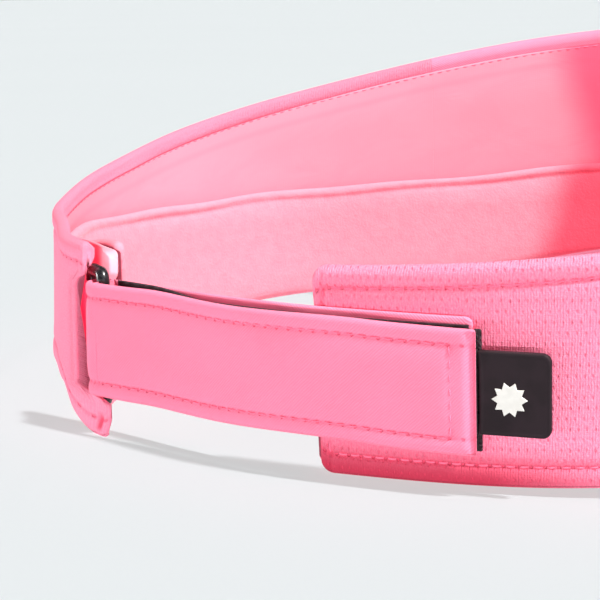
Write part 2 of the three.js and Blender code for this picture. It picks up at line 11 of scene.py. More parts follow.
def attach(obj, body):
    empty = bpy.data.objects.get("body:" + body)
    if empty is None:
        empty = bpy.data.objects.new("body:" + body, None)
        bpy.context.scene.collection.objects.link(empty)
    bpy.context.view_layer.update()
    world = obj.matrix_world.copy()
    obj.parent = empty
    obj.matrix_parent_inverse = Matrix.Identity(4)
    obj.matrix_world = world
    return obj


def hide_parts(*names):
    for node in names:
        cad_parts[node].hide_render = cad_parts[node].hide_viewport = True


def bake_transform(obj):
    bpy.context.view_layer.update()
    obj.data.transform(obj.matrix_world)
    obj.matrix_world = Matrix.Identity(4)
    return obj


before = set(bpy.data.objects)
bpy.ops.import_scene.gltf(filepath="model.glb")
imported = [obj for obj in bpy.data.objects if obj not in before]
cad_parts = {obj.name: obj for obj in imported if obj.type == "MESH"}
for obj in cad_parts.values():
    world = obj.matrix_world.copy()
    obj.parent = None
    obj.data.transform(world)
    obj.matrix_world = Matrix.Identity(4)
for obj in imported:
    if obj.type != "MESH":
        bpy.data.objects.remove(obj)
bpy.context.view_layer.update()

# ---- Dimensions, in millimetres, in the plan's own coordinates ----

MM = 0.001
ORIGIN = np.array([0.9086, 38.4562, -0.0483])  # where the row's origin lies in the plan

PLAN_RADIUS = 93
PLAN_LENGTHENING = 0.03
PLAN_EGG = 0.053
PLAN_CORNERS = 0.018
PLAN_REAR_SKEW = 0.04
REAR_HEIGHT = 38.5
FRONT_HEIGHT = 67
HEIGHT_GROWTH = 1.28
BASE_TILT = 0.06
BASE_START = -92
FRONT_ARCH = 8
FRONT_ARCH_SPAN = 60
LEFT_RISE = 7
FLARE = 0.088
FLARE_FADE_FROM, FLARE_FADE_TO = -42, -24
LEFT_BULGE, LEFT_BULGE_AT, LEFT_BULGE_WIDTH = 5.5, -50, 19

RIGHT_END, LEFT_END, PANEL_SEAM = 19, -15.6, 128
SHELL_THICKNESS = 1.0
LINING_OUTSIDE, LINING_THICKNESS = -1.3, 0.8
SWEATBAND_FACE = -4.9
SWEATBAND_HEIGHT = 28.8
RIDGE_LINE = 2.3  # the sweatband's stitch line, down from its rolled edge
FOOT_START = -24
POCKET_START, POCKET_FULL = -35, -20
POCKET_OUTWARD, POCKET_INWARD, POCKET_FOOT, POCKET_FOOT_SHARE = 3.6, 2.0, 2.8, 0.14

RING_BAR = np.array([-22.3, -94.1])
RING_FIXED_BAR = np.array([-29.1, -91.6])
RING_WIRE, RING_LOW, RING_HIGH, RING_CORNER = 1.3, 6.6, 32.6, 1.6

STRAP_WIDTH, STRAP_THICKNESS, STRAP_LOW = 22.8, 0.9, 8.4
STRAP_SEWN_RISE, STRAP_DROOP = 0.8, 0.5
STRAP_TURN, STRAP_LEG = 2.55, 1.5
STRAP_ARRIVAL, STRAP_END, STRAP_SEWN_END = 36, 61.2, 60
LAYER_SPREAD, STRAP_MIDDLE = 1.8, 2.55
HOOK_LENGTH = 40
TAPE_GAP, TAPE_THICKNESS = 0.15, 0.7

TAB_LENGTH, TAB_HEIGHT, TAB_THICKNESS, TAB_LOW, TAB_OFFSET = 12.5, 15, 1.4, 11.8, 3.3
TAB_CORNER = 1.6

BILL_SPAN, BILL_USED = 67, 0.97
BILL_SEAM_OFFSET = 1.4
BILL_TIP = (0, 174, 16.5)
BILL_FRONT_PULL = 52
BILL_SHOULDER = (98, 98, -11)
BILL_HALF = 2.0

HEM_TOP, HEM_LOW = 4.1, 3.9  # stitch lines in from the band's edges
STRAP_HEM = 3.0
STRAP_FACE = 0.35  # how far the soft outer face stands out past the webbing
STITCH = 2.4  # pitch of every stitched row

KEY, TABLE_KEY, FRONT_CARD, RIGHT_CARD, LEFT_FILL, AMBIENT = 5.6, 4.5, 0.31, 0.85, 1.75, 0.11
FLOOR_SHINE = 0.565
CAMERA_AZIMUTH, CAMERA_ELEVATION, CAMERA_ROLL = 46.653, 9.982, -0.497
CAMERA_PLACE = (248.862, -296.782, 86.186)
CAMERA_SENSOR = 36
CAMERA_FOCAL = 103.8498


def row(points):
    """Points in the row frame, in metres."""
    return (np.asarray(points, float) - ORIGIN) * MM


def smooth(x, low, high):
    t = np.clip((np.asarray(x, float) - low) / (high - low), 0, 1)
    return t * t * (3 - 2 * t)


def bell(x, width):
    return np.exp(-((np.asarray(x, float) / width) ** 2))


def unit(vectors):
    return vectors / np.linalg.norm(vectors, axis=-1, keepdims=True)


def rightward(direction):
    return np.stack([direction[..., 1], -direction[..., 0]], -1)


def standing(flat, z):
    """Points from their places in the plan and their heights."""
    return np.concatenate([flat, np.asarray(z, float)[..., None]], -1)


def reach_along(points):
    """The distance from a path's start to each of its points."""
    return np.concatenate([[0], np.cumsum(np.linalg.norm(np.diff(points, axis=0), axis=1))])


def on_path(distance, reach, points):
    return np.stack([np.interp(distance, reach, points[:, k]) for k in range(points.shape[1])], -1)


def bezier(t, a, b, c, d):
    return (1 - t) ** 3 * a + 3 * (1 - t) ** 2 * t * b + 3 * (1 - t) * t**2 * c + t**3 * d


# ---- The band's shape ----


def plan(angle):
    a = np.radians(angle)
    rear = (1 + np.cos(a)) / 2
    radius = PLAN_RADIUS * (1 + PLAN_LENGTHENING * np.cos(2 * a) - PLAN_EGG * np.cos(3 * a)
                            + PLAN_CORNERS * np.cos(4 * a) - PLAN_REAR_SKEW * rear * np.sin(4 * a))
    return np.stack([radius * np.sin(a), -radius * np.cos(a)], -1)


def plan_frame(angle):
    """The plan's point, tangent and outward normal at an angle."""
    angle = np.asarray(angle, float)
    tangent = unit(plan(angle + 0.01) - plan(angle - 0.01))
    return plan(angle), tangent, rightward(tangent)


FINE_ANGLES = np.arange(-60, 420.01, 0.05)
FINE_ARCS = reach_along(plan(FINE_ANGLES))
FINE_ARCS -= np.interp(0, FINE_ANGLES, FINE_ARCS)


def arc_at(angle):
    return np.interp(angle, FINE_ANGLES, FINE_ARCS)


def angle_at(arc):
    return np.interp(arc, FINE_ARCS, FINE_ANGLES)


def turned(angle):
    """The same angle counted from the rear, -180 to 180. The left side is negative."""
    angle = np.asarray(angle, float)
    return np.where(angle > 180, angle - 360, angle)


def base_plane(angle):
    return BASE_TILT * (plan(angle)[..., 1] - BASE_START)


def top_edge(angle):
    share = (1 - np.cos(np.radians(angle))) / 2
    return base_plane(angle) + REAR_HEIGHT + (FRONT_HEIGHT - REAR_HEIGHT) * share**HEIGHT_GROWTH


def low_edge(angle):
    from_front = 180 - np.abs(turned(angle))
    arch = np.cos(np.radians(90 * np.minimum(from_front, FRONT_ARCH_SPAN) / FRONT_ARCH_SPAN)) ** 2
    rise = (1 - smooth(turned(angle), FOOT_START, -17)) * smooth(turned(angle), -80, -45)
    return base_plane(angle) + FRONT_ARCH * arch + LEFT_RISE * rise


def height_share(angle, z):
    return (z - low_edge(angle)) / (top_edge(angle) - low_edge(angle))


def waviness(arc, z):
    """The soft band is never quite true: slow waves that leave the strap's side and the stiff front alone."""
    calm = smooth(arc, 95, 150) * (1 - smooth(arc, 215, 250)) + smooth(arc, 345, 380) * (1 - smooth(arc, 520, 545))
    wave = np.sin(arc / 17 + z / 21) + 0.6 * np.sin(arc / 9.3 - z / 15 + 1.3) + 0.4 * np.sin(arc / 5.1 + z / 9)
    return 0.28 * calm * wave


def band_lean(angle, z):
    turn = turned(angle)
    bulge = LEFT_BULGE * bell(turn - LEFT_BULGE_AT, LEFT_BULGE_WIDTH)
    upright = np.where(turn < 0, smooth(turn, FLARE_FADE_FROM, FLARE_FADE_TO), 0)
    flare = FLARE * (1 - upright) * (z - base_plane(angle))
    return flare + bulge * (1 - height_share(angle, z)) + waviness(arc_at(angle), z)


def band_point(angle, z, offset):
    """A point of the band: an angle round the plan, a height, and how far out from the plan's line."""
    angle, z, offset = np.broadcast_arrays(np.asarray(angle, float), z, offset)
    point, _, normal = plan_frame(angle)
    return standing(point + normal * (offset + band_lean(angle, z))[..., None], z)


def pocket(angle):
    """How far the left end has opened into two leaves, 0 to 1."""
    return np.where(turned(angle) > 0, 0, smooth(turned(angle), POCKET_START, POCKET_FULL))


def leaf_shift(reach):
    """How far out one leaf of the pocket stands. The leaves meet at the foot."""

    def shift(angle, z):
        open_share = smooth(height_share(angle, z), 0, POCKET_FOOT_SHARE)
        return pocket(angle) * (POCKET_FOOT + (reach - POCKET_FOOT) * open_share)

    return shift


shell_shift, lining_shift = leaf_shift(POCKET_OUTWARD), leaf_shift(-POCKET_INWARD)


def at_left_end(angle):
    return smooth(turned(angle), -20.5, LEFT_END)


def left_end_reach(angle, z):
    """How the outer leaf of the left end runs on above and below the strap, in degrees."""
    reach = -2.2 + 2.5 * smooth(z, 30.4, 32.6) + 7.3 * (1 - smooth(z, 8.0, 9.2)) - 1.5 * (1 - smooth(z, 0.2, 5))
    return reach * at_left_end(angle)


def inner_end_reach(angle, z):
    """The inner leaf reaches over the sweatband's end above the strap, and stops short below it, in degrees."""
    return (1.7 * smooth(z, 29, 32) - 1.4 * (1 - smooth(z, 7, 9))) * at_left_end(angle)


# ---- Mesh helpers ----


def show(name, data):
    made = bpy.data.objects.new(name, data)
    bpy.context.scene.collection.objects.link(made)
    return made


def declare(made, nodes=(), body=None):
    if body:
        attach(made, body)
    if nodes:
        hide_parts(*nodes)
    return made


def mesh_object(name, points, faces, material, uvs=None):
    """A mesh object from points in plan millimetres. uvs maps a layer's name to one pair per point."""
    mesh = bpy.data.meshes.new(name)
    mesh.from_pydata([tuple(p) for p in row(points)], [], [tuple(int(i) for i in f) for f in faces])
    mesh.update()
    mesh.polygons.foreach_set("use_smooth", [True] * len(mesh.polygons))
    loops = np.zeros(len(mesh.loops), int)
    mesh.loops.foreach_get("vertex_index", loops)
    for layer, values in (uvs or {}).items():
        uv = mesh.uv_layers.new(name=layer)
        uv.data.foreach_set("uv", np.asarray(values, np.float32)[loops].ravel())
    mesh.materials.append(material)
    turn_outward(mesh)
    return show(name, mesh)


def turn_outward(mesh):
    """Turns the faces outwards if the closed body is inside out."""
    mesh.calc_loop_triangles()
    corners = np.zeros(len(mesh.loop_triangles) * 3, int)
    mesh.loop_triangles.foreach_get("vertices", corners)
    places = np.zeros(len(mesh.vertices) * 3)
    mesh.vertices.foreach_get("co", places)
    a, b, c = places.reshape(-1, 3)[corners.reshape(-1, 3)].transpose(1, 0, 2)
    if np.einsum("ij,ij->i", a, np.cross(b, c)).sum() < 0:
        mesh.flip_normals()


def tube_faces(columns, around, start=0):
    """Quads of a tube: columns rings of around points each, closed round, with a cap at each end."""
    faces = []
    for c in range(columns - 1):
        here, there = start + c * around, start + (c + 1) * around
        for r in range(around):
            n = (r + 1) % around
            faces.append((here + r, there + r, there + n, here + n))
    last = start + (columns - 1) * around
    return faces + [tuple(start + r for r in range(around)), tuple(last + r for r in reversed(range(around)))]


def tube_grid(name, grid, material, uvs=None):
    """A closed body from a grid of rings, shape (columns, around, 3), with optional uv grids."""
    flat = {k: v.reshape(-1, 2) for k, v in (uvs or {}).items()}
    return mesh_object(name, grid.reshape(-1, 3), tube_faces(*grid.shape[:2]), material, flat)


def ribbon(place, name, columns, low, high, middle, thickness, rows_out, rows_in, material,
           relief_out=None, relief_in=None, ends=(0.8, 0.8), corner=(0, 0), turn_points=5, along=None,
           hem=(0, 0, 1, 2), fade_over=2.0):
    """A ribbon standing on edge with rounded edges. place(columns, z, offset) gives the points. low, high,
    middle and thickness are per column. ends are the lengths over which each end rounds off in thickness,
    and corner the radius of its corners in elevation. along is the distance of each column. hem is what the
    turned-over top adds outwards and inwards, and the depths where it starts and stops thinning."""
    columns = np.asarray(columns, float)
    along = columns if along is None else along
    n = len(columns)
    low, high, middle, thickness = (np.broadcast_to(np.asarray(v, float), (n,)).copy()
                                    for v in (low, high, middle, thickness))
    from_start, from_end = along - along[0], along[-1] - along
    for distance, rounding, radius in zip((from_start, from_end), ends, corner):
        if rounding:
            d = np.clip(distance / rounding, 0, 1)
            thickness *= np.maximum(np.sqrt(np.clip(1 - (1 - d) ** 2, 0, 1)), 0.12)
        if radius:
            d = np.clip(distance, 0, radius)
            inset = radius - np.sqrt(np.clip(radius**2 - (radius - d) ** 2, 0, None))
            low += inset
            high -= inset
    half = thickness / 2
    hem_out, hem_in, hem_start, hem_stop = hem
    half_top, middle_top = half + (hem_out + hem_in) / 2, middle + (hem_out - hem_in) / 2
    # The section's stations: its side (1 outer, -1 inner, 0 turning over), a share of the height, and a turn.
    turns = np.linspace(0, math.pi, turn_points + 2)[1:-1]
    stations = ([(1, h, 0) for h in rows_out] + [(0, 1, t) for t in turns]
                + [(-1, h, 0) for h in reversed(rows_in)] + [(0, 0, -t) for t in turns])
    z, offset = [], []
    for side, share, turn in stations:
        straight = low + half + (high - low - half - half_top) * share
        if side:
            turned_over = (hem_out if side > 0 else hem_in) * (1 - smooth(high - straight, hem_start, hem_stop))
            z.append(straight)
            offset.append(middle + side * (half + turned_over))
        elif turn > 0:
            z.append(straight + half_top * math.sin(turn))
            offset.append(middle_top + half_top * math.cos(turn))
        else:
            z.append(straight + half * math.sin(turn))
            offset.append(middle - half * math.cos(turn))
    z, offset = np.stack(z, 1), np.stack(offset, 1)
    side = np.array([station[0] for station in stations])
    fade = np.minimum(1, np.minimum(from_start, from_end) / fade_over)[:, None]
    reach = np.broadcast_to(along[:, None], z.shape)
    from_low, from_high = z - low[:, None], high[:, None] - z
    for relief, facing in ((relief_out, 1), (relief_in, -1)):
        if relief:
            offset = offset + facing * np.where(side == facing, relief(reach, from_low, from_high) * fade, 0)
    points = place(np.broadcast_to(columns[:, None], z.shape), z, offset)
    steps = np.linalg.norm(np.diff(np.stack([z, offset], -1), axis=1), axis=-1)
    round_it = np.concatenate([np.zeros((n, 1)), np.cumsum(steps, 1)], 1)
    reverse = np.broadcast_to((side == 1).astype(float), z.shape)
    uvs = {
        "cloth": np.stack([reach, round_it], -1),
        "edges": np.stack([from_low, from_high], -1),
        "reverse": np.stack([reverse, reverse], -1),
    }
    return tube_grid(name, points, material, uvs)


def spaced_rows(height, lines, coarse=1.6, fine=0.35, reach=1.4):
    """Shares of a height, closer together near the stitched lines."""
    places = [0.0]
    while places[-1] < height:
        near = min(abs(places[-1] - line) for line in lines)
        places.append(places[-1] + (fine if near < reach else coarse))
    places[-1] = height
    return [p / height for p in places]


# ---- Stitching ----


class Threads:
    """Rows of sewn stitches, each a short thread that rises out of one needle hole and dips into the next."""

    rings, sides, gap = 7, 6, 0.45

    def __init__(self):
        self.points, self.faces = [], []

    def add(self, path, normals, pitch=STITCH, thickness=0.42, lift=0.1):
        reach = reach_along(path)
        count = max(1, int(round(reach[-1] / pitch)))
        pitch = reach[-1] / count
        t = np.linspace(0, 1, self.rings)
        swell = np.sqrt(np.sin(np.pi * np.clip(t, 0.03, 0.97)))
        radius = thickness / 2 * (0.55 + 0.45 * swell)[:, None, None]
        a = 2 * math.pi * np.arange(self.sides)[:, None] / self.sides
        for i in range(count):
            stations = (i + t * (1 - self.gap / pitch) + self.gap / pitch / 2) * pitch
            centre, normal = on_path(stations, reach, path), unit(on_path(stations, reach, normals))
            sideways = unit(np.cross(normal, unit(centre[-1] - centre[0])))
            jitter = 0.06 * math.sin(i * 2.39) * (t - 0.5) * 2
            centre = centre + normal * (lift - 0.42 * (1 - swell))[:, None] + sideways * jitter[:, None]
            spokes = sideways[:, None] * np.cos(a) * 1.12 + normal[:, None] * np.sin(a) * 0.85
            self.faces += tube_faces(self.rings, self.sides, len(self.points))
            self.points += list((centre[:, None] + spokes * radius).reshape(-1, 3))

    def build(self, name, body=None):
        points = np.array(self.points)
        uv = np.stack([points[:, 0] + points[:, 1], points[:, 2]], 1)
        return declare(mesh_object(name, points, self.faces, THREAD, {"cloth": uv}), body=body)


def surface_row(place, columns, z, offset):
    """A path on a standing surface and its outward normals."""
    columns, z, offset = np.broadcast_arrays(np.asarray(columns, float), z, offset)
    here = place(columns, z, offset)
    return here, unit(place(columns, z, offset + 0.02) - here)


# ---- Materials ----


class Value:
    """One output of a material's node. Arithmetic on it adds maths nodes."""

    def __init__(self, graph, socket):
        self.graph, self.socket = graph, socket

    def do(self, operation, *others):
        return self.graph.node("ShaderNodeMath", self, *others, operation=operation)

    def __add__(self, other):
        return self.do("ADD", other)

    def __sub__(self, other):
        return self.do("SUBTRACT", other)

    def __mul__(self, other):
        return self.do("MULTIPLY", other)

    def __truediv__(self, other):
        return self.do("DIVIDE", other)

    def span(self, low, high, to_low=0.0, to_high=1.0):
        """Goes smoothly from to_low to to_high while this value goes from low to high."""
        return self.graph.node("ShaderNodeMapRange", self, low, high, to_low, to_high,
                               interpolation_type="SMOOTHSTEP")

    def wave(self, pitch):
        """A cosine from 0 to 1 with the given pitch."""
        return (self * (2 * math.pi / pitch)).do("COSINE").do("MULTIPLY_ADD", 0.5, 0.5)

    def mix(self, a, b):
        """The colour a where this value is 0, b where it is 1."""
        return self.graph.node("ShaderNodeMix", output="Result", data_type="RGBA",
                               sockets={"Factor": self, "A": a, "B": b})


class Graph:
    """A material's node tree, built up with short calls."""

    def __init__(self, name):
        self.material = bpy.data.materials.new(name)
        self.material.use_nodes = True
        self.tree = self.material.node_tree
        self.shader = self.tree.nodes["Principled BSDF"]

    def put(self, socket, value):
        if isinstance(value, Value):
            self.tree.links.new(value.socket, socket)
        else:
            socket.default_value = value

    def node(self, kind, *values, output=0, sockets=None, **settings):
        """One output of a new node, whose inputs are given in order or by name."""
        made = self.tree.nodes.new(kind)
        for key, value in settings.items():
            setattr(made, key, value)
        for socket, value in zip(made.inputs, values):
            self.put(socket, value)
        for key, value in (sockets or {}).items():
            self.put(made.inputs[key], value)
        return Value(self, made.outputs[output])

    def uv(self, layer="cloth"):
        split = self.node("ShaderNodeSeparateXYZ", self.node("ShaderNodeUVMap", uv_map=layer))
        return split, Value(self, split.socket.node.outputs[1])

    def place(self):
        """Object coordinates in millimetres."""
        place = self.node("ShaderNodeTexCoord", output="Object")
        return self.node("ShaderNodeVectorMath", place, sockets={"Scale": 1 / MM}, operation="SCALE")

    def combine(self, x, y):
        return self.node("ShaderNodeCombineXYZ", x, y)

    def noise(self, vector, scale, detail=2.0, roughness=0.5, distortion=0.0):
        return self.node("ShaderNodeTexNoise", sockets={
            "Vector": vector, "Scale": scale, "Detail": detail, "Roughness": roughness, "Distortion": distortion})

    def grain(self, *settings):
        """Noise in the object's own millimetres."""
        return self.noise(self.place(), *settings)

    def bump(self, height, distance, strength):
        return self.node("ShaderNodeBump", sockets={
            "Strength": strength, "Distance": distance * MM, "Height": height})

    def finish(self, color, roughness, normal=None, **others):
        self.put(self.shader.inputs["Base Color"], color)
        self.put(self.shader.inputs["Roughness"], roughness)
        if normal:
            self.put(self.shader.inputs["Normal"], normal)
        for key, value in others.items():
            self.put(self.shader.inputs[key.replace("_", " ")], value)
        return self.material


def rgb(red, green, blue):
    return (red, green, blue, 1.0)


def scaled(color, share):
    return tuple(min(1.0, c * share) for c in color[:3]) + (1.0,)


PINK = rgb(0.985, 0.262, 0.415)
PINK_DEEP = rgb(0.93, 0.075, 0.16)
PINK_PALE = rgb(0.99, 0.36, 0.5)
PAINTED_RED_GLOW = rgb(1.0, 0.02, 0.09)  # painted glow: a red emission that stands in for the red light bounced between pink cloth in shade
PAINTED_GLOW_STRENGTH = 0.14
FRONT_ARC, LEFT_ARC = arc_at(180), arc_at(360 + LEFT_END)


def painted(color, *coats):
    """A colour under coats, each a share and the colour that it mixes in."""
    for share, coat in coats:
        color = share.mix(color, coat)
    return color


# Every cloth glows with the painted red glow, painted light that reddens its shaded parts.
def cloth_finish(g, color, roughness, normal, sheen=0.06, glow=PAINTED_GLOW_STRENGTH, glow_color=PAINTED_RED_GLOW):
    return g.finish(color, roughness, normal, Sheen_Weight=sheen, Sheen_Roughness=0.4,
                    Sheen_Tint=rgb(1.0, 0.75, 0.85), Specular_IOR_Level=0.25, Emission_Color=glow_color,
                    Emission_Strength=glow)


def length(a, b):
    return (a.do("POWER", 2.0) + b.do("POWER", 2.0)).do("SQRT")


def strongest_line(g, lines, shade):
    """The greatest shade of stitched lines that lie a set distance in from the low or the high edge."""
    edges = dict(zip(("low", "high"), g.uv("edges")))
    return reduce(lambda a, b: a.do("MAXIMUM", b), [shade(edges[edge] - inset) for edge, inset in lines])


def needle_holes(g, lines):
    """Small dark dots where the needle went in."""
    along = (g.uv()[0] / STITCH).do("FRACT").do("PINGPONG", 0.5) * STITCH
    return strongest_line(g, lines, lambda off: length(along, off).span(0.18, 0.42, 1.0, 0.0))


def seam_shade(g, lines, width):
    """A soft band along each stitched line, used as painted shade along its groove."""
    return strongest_line(g, lines, lambda off: off.do("ABSOLUTE").span(0.0, width, 1.0, 0.0))


def knit_material(name, openness):
    """Pinhole knit: fine ribs up the cloth, short courses across, and small holes in a brick pattern."""
    g = Graph(name)
    u, v = g.uv()
    low, high = g.uv("edges")
    u = u + (g.noise(g.combine(u, v), 0.35) - 0.5) * 0.35
    ribs, courses = u.wave(0.48), v.wave(0.4)
    pitch_u, pitch_v = 1.45, 1.9
    line = v / pitch_v
    odd = line.do("FLOOR").do("MODULO", 2.0) * 0.5
    hole_u = (u / pitch_u + odd).do("FRACT").do("PINGPONG", 0.5) * pitch_u
    hole_v = (line.do("FRACT") - 0.5) * pitch_v
    hole = length(hole_u / 0.22, hole_v / 0.4).span(0.35, 1.25, 1.0, 0.0)
    hole = hole * g.noise(g.combine(u * 0.4, v * 0.3), 1.0, 1.0).span(0.3, 0.7, 0.45, 1.0)
    fuzz = g.grain(2.6, 3.0, 0.65)
    patch = g.grain(0.06)
    grain = g.noise(g.combine(u * 3.2, v * 1.5), 1.0, 2.0, 0.6).span(0.35, 0.65)
    lines = [("low", HEM_LOW), ("high", HEM_TOP)]
    dots, seam = needle_holes(g, lines), seam_shade(g, lines, 1.0)
    color = painted(
        PINK, (patch.span(0.3, 0.7), rgb(0.985, 0.285, 0.435)), (ribs * 0.45, PINK_PALE),
        (grain * (0.6 * openness), rgb(0.975, 0.17, 0.3)), (fuzz.span(0.4, 0.7) * 0.3, rgb(0.99, 0.42, 0.56)),
        # Painted shade: the bottom hem darkens beside and below the strap.
        (low.span(0.8, 9.0, openness, 0.0) * u.span(60.0, 95.0, 1.0, 0.0), rgb(0.5, 0.035, 0.075)),
        # Painted shade: a darker top hem where openness is below 1, where the light falls strongly.
        (high.span(0.0, 3.0, 0.5 * (1 - openness), 0.0), rgb(0.96, 0.17, 0.24)))
    if openness < 1:  # the closer cloth of the left panel, with painted shade in the fold on its foot
        beside = (g.uv()[0] - (LEFT_ARC - 1.7)).do("ABSOLUTE")
        fold = beside.span(0.1, 0.9, 0.85, 0.0) * low.span(3.5, 6.0, 1.0, 0.0)
        color = (fold * low.span(0.8, 2.2)).mix(color, rgb(0.7, 0.03, 0.09))
    color = painted(color, (hole * (0.42 * openness), PINK_DEEP), (seam * 0.25, PINK_DEEP), (dots * 0.4, PINK_DEEP))
    height = ribs * 0.3 + courses * 0.08 + fuzz * 0.6 + grain * 0.3 - hole * (1.1 * openness) - dots * 1.5
    return cloth_finish(g, color, fuzz.span(0.2, 0.8, 0.8, 0.95), g.bump(height, 0.2, 0.9))


def twill_material(name, lines=None, color=PINK, layer_angle=1.0, glow=PAINTED_GLOW_STRENGTH):
    """Fine twill: diagonal ribs, a hint of the cross threads, and needle holes along the stitched lines."""
    g = Graph(name)
    u, v = g.uv()
    pitch = 0.62
    wander = g.noise(g.combine(u, v), 0.5, 1.0) * 0.25
    diagonal = (u + v * layer_angle + wander).wave(pitch)
    cross = (u - v).wave(pitch * 0.5)
    slub = g.noise(g.combine(u * 0.5, v * 3.0), 0.9)
    patch = g.grain(0.07)
    color = painted(color, (patch.span(0.3, 0.7), scaled(color, 1.07)), (diagonal * 0.3, PINK_PALE),
                    (slub.span(0.45, 0.7) * 0.14, rgb(0.96, 0.2, 0.35)))
    height = diagonal * 0.6 + cross * 0.2 + slub * 0.5
    if lines:
        dots = needle_holes(g, lines)
        color = painted(color, (seam_shade(g, lines, 0.7) * 0.22, PINK_DEEP), (dots * 0.45, rgb(0.75, 0.05, 0.12)))
        height = height - dots * 3.0
    return cloth_finish(g, color, slub.span(0.3, 0.7, 0.72, 0.86), g.bump(height, 0.09, 0.8), 0.1, glow)


def front_painted_shadow(g, edge, slant):
    """Painted shadow over the inside of the front, from 0 to 1, with a soft, slanted, wandering edge."""
    wander = (g.grain(0.05) - 0.5) * 6.0
    at = g.uv()[0] + g.uv("edges")[1] * slant + wander
    start = 2 * FRONT_ARC - edge
    return at.span(start - 5, start + 5) * at.span(edge - 8, edge + 5, 1.0, 0.0)


def lining_material():
    """Smooth plain weave with soft creases, darkened inside the front by a painted shadow. The tip above the ring
    has painted light: it is painted pale, and its outer face glows.
    """
    g = Graph("lining")
    u, v = g.uv()
    weave = u.wave(0.5) + v.wave(0.5)
    fine = g.grain(1.4)
    crease = g.noise(g.combine(u * 0.05, v * 0.11), 1.0, 3.0, 0.55, 0.6)
    seam = seam_shade(g, [("low", HEM_LOW), ("high", HEM_TOP)], 1.4)
    # tip: the tongue above the ring, lightened with painted light
    tip = u.span(LEFT_ARC - 9, LEFT_ARC - 5) * g.uv("edges")[1].span(6.0, 9.0, 1.0, 0.0)
    color = painted(rgb(0.985, 0.315, 0.415), (crease.span(0.35, 0.65), rgb(0.99, 0.33, 0.43)),
                    (seam * 0.12, PINK_DEEP), (front_painted_shadow(g, 349.5, 0.24), rgb(0.95, 0.13, 0.23)),
                    (tip * 0.35, rgb(1.0, 0.62, 0.7)))
    normal = g.bump(weave * 0.012 + fine * 0.03 + crease * 0.5, 1.0, 0.4)
    return cloth_finish(g, color, fine.span(0.3, 0.7, 0.78, 0.9), normal,
                        # The tip's outer face glows pale pink: painted light where it lies in shade.
                        glow=tip * g.uv("reverse")[0] * 0.5 + PAINTED_GLOW_STRENGTH,
                        glow_color=tip.mix(PAINTED_RED_GLOW, rgb(1.0, 0.42, 0.52)))


def plush_material():
    """The sweatband's soft brushed face, darkened inside the front by a painted shadow, and its reverse, painted
    near black as painted shade in the gap behind the left end's tongue.
    """
    g = Graph("sweatband_plush")
    nap = g.grain(1.7, 4.0, 0.65)
    tuft = g.grain(0.35)
    seam = seam_shade(g, [("high", RIDGE_LINE)], 1.0)
    color = painted(rgb(0.99, 0.3, 0.395), (tuft.span(0.3, 0.7), rgb(0.99, 0.325, 0.42)),
                    (nap.span(0.45, 0.7) * 0.25, rgb(1.0, 0.4, 0.5)), (seam * 0.12, PINK_DEEP),
                    (front_painted_shadow(g, 348, -0.3), rgb(0.95, 0.1, 0.16)),
                    # Painted shade: the reverse is near black, for the dark gap behind the tongue.
                    (g.uv("reverse")[0] * 0.92, rgb(0.1, 0.02, 0.035)))
    normal = g.bump(nap + tuft * 1.2 - seam * 0.5, 0.3, 0.5)
    return cloth_finish(g, color, nap.span(0.3, 0.7, 0.85, 0.97), normal, 0.35)


def thread_material():
    """Twisted polyester thread, a little glossier than the cloth."""
    g = Graph("thread")
    u, v = g.uv()
    ply = (u + v * 1.5).wave(0.45)
    fine = g.grain(3.0)
    color = ply.mix(rgb(0.93, 0.16, 0.29), rgb(0.975, 0.25, 0.39))
    return cloth_finish(g, color, fine.span(0.3, 0.7, 0.5, 0.66), g.bump(ply + fine * 0.4, 0.05, 0.7), 0.05)


def pile_material(name, hooks):
    """Hook-and-loop tape: a dark woven ground with rows of hooks, or a tangle of loops."""
    g = Graph(name)
    u, v = g.uv()
    if hooks:
        cells = g.node("ShaderNodeTexVoronoi", sockets={"Vector": g.combine(u * 1.7, v * 1.3), "Scale": 1.0})
        pile = cells.span(0.1, 0.5, 1.0, 0.0)
    else:
        pile = g.grain(1.9, 4.0, 0.7, 1.2)
    lint = g.grain(0.9, 3.0, 0.6)
    color = painted(rgb(0.008, 0.002, 0.004), (pile, rgb(0.03, 0.008, 0.014)),
                    (lint.span(0.6, 0.75) * 0.35, rgb(0.16, 0.05, 0.08)))
    return g.finish(color, pile.span(0.2, 0.8, 0.7, 0.95), g.bump(pile + lint * 0.5, 0.35, 0.9),
                    Sheen_Weight=0.25, Sheen_Roughness=0.5, Sheen_Tint=rgb(0.7, 0.5, 0.6))


def rubber_material():
    """Soft matte moulded rubber with a very fine grain and a painted highlight along the rim."""
    g = Graph("soft_rubber")
    cloud = g.grain(0.25)
    # rim: a painted highlight, lighter along the tab's edges.
    rim = g.node("ShaderNodeNewGeometry", output="Pointiness").span(0.52, 0.6)
    color = painted(rgb(0.016, 0.009, 0.012), (cloud.span(0.35, 0.65), rgb(0.021, 0.012, 0.016)),
                    (rim * 0.6, rgb(0.09, 0.07, 0.078)))
    normal = g.bump(g.grain(5.0, 3.0, 0.6), 0.02, 0.5)
    return g.finish(color, cloud.span(0.3, 0.7, 0.5, 0.6), normal, Specular_IOR_Level=0.16)


def ring_material():
    """Glossy black moulded plastic with faint flow marks."""
    g = Graph("glossy_plastic")
    flow = g.grain(0.8, 2.0, 0.5, 0.8)
    speck = g.grain(6.0)
    color = flow.span(0.4, 0.6).mix(rgb(0.012, 0.011, 0.013), rgb(0.022, 0.02, 0.024))
    return g.finish(color, flow.span(0.3, 0.7, 0.22, 0.34), g.bump(flow + speck * 0.12, 0.03, 0.4),
                    Specular_IOR_Level=0.6)


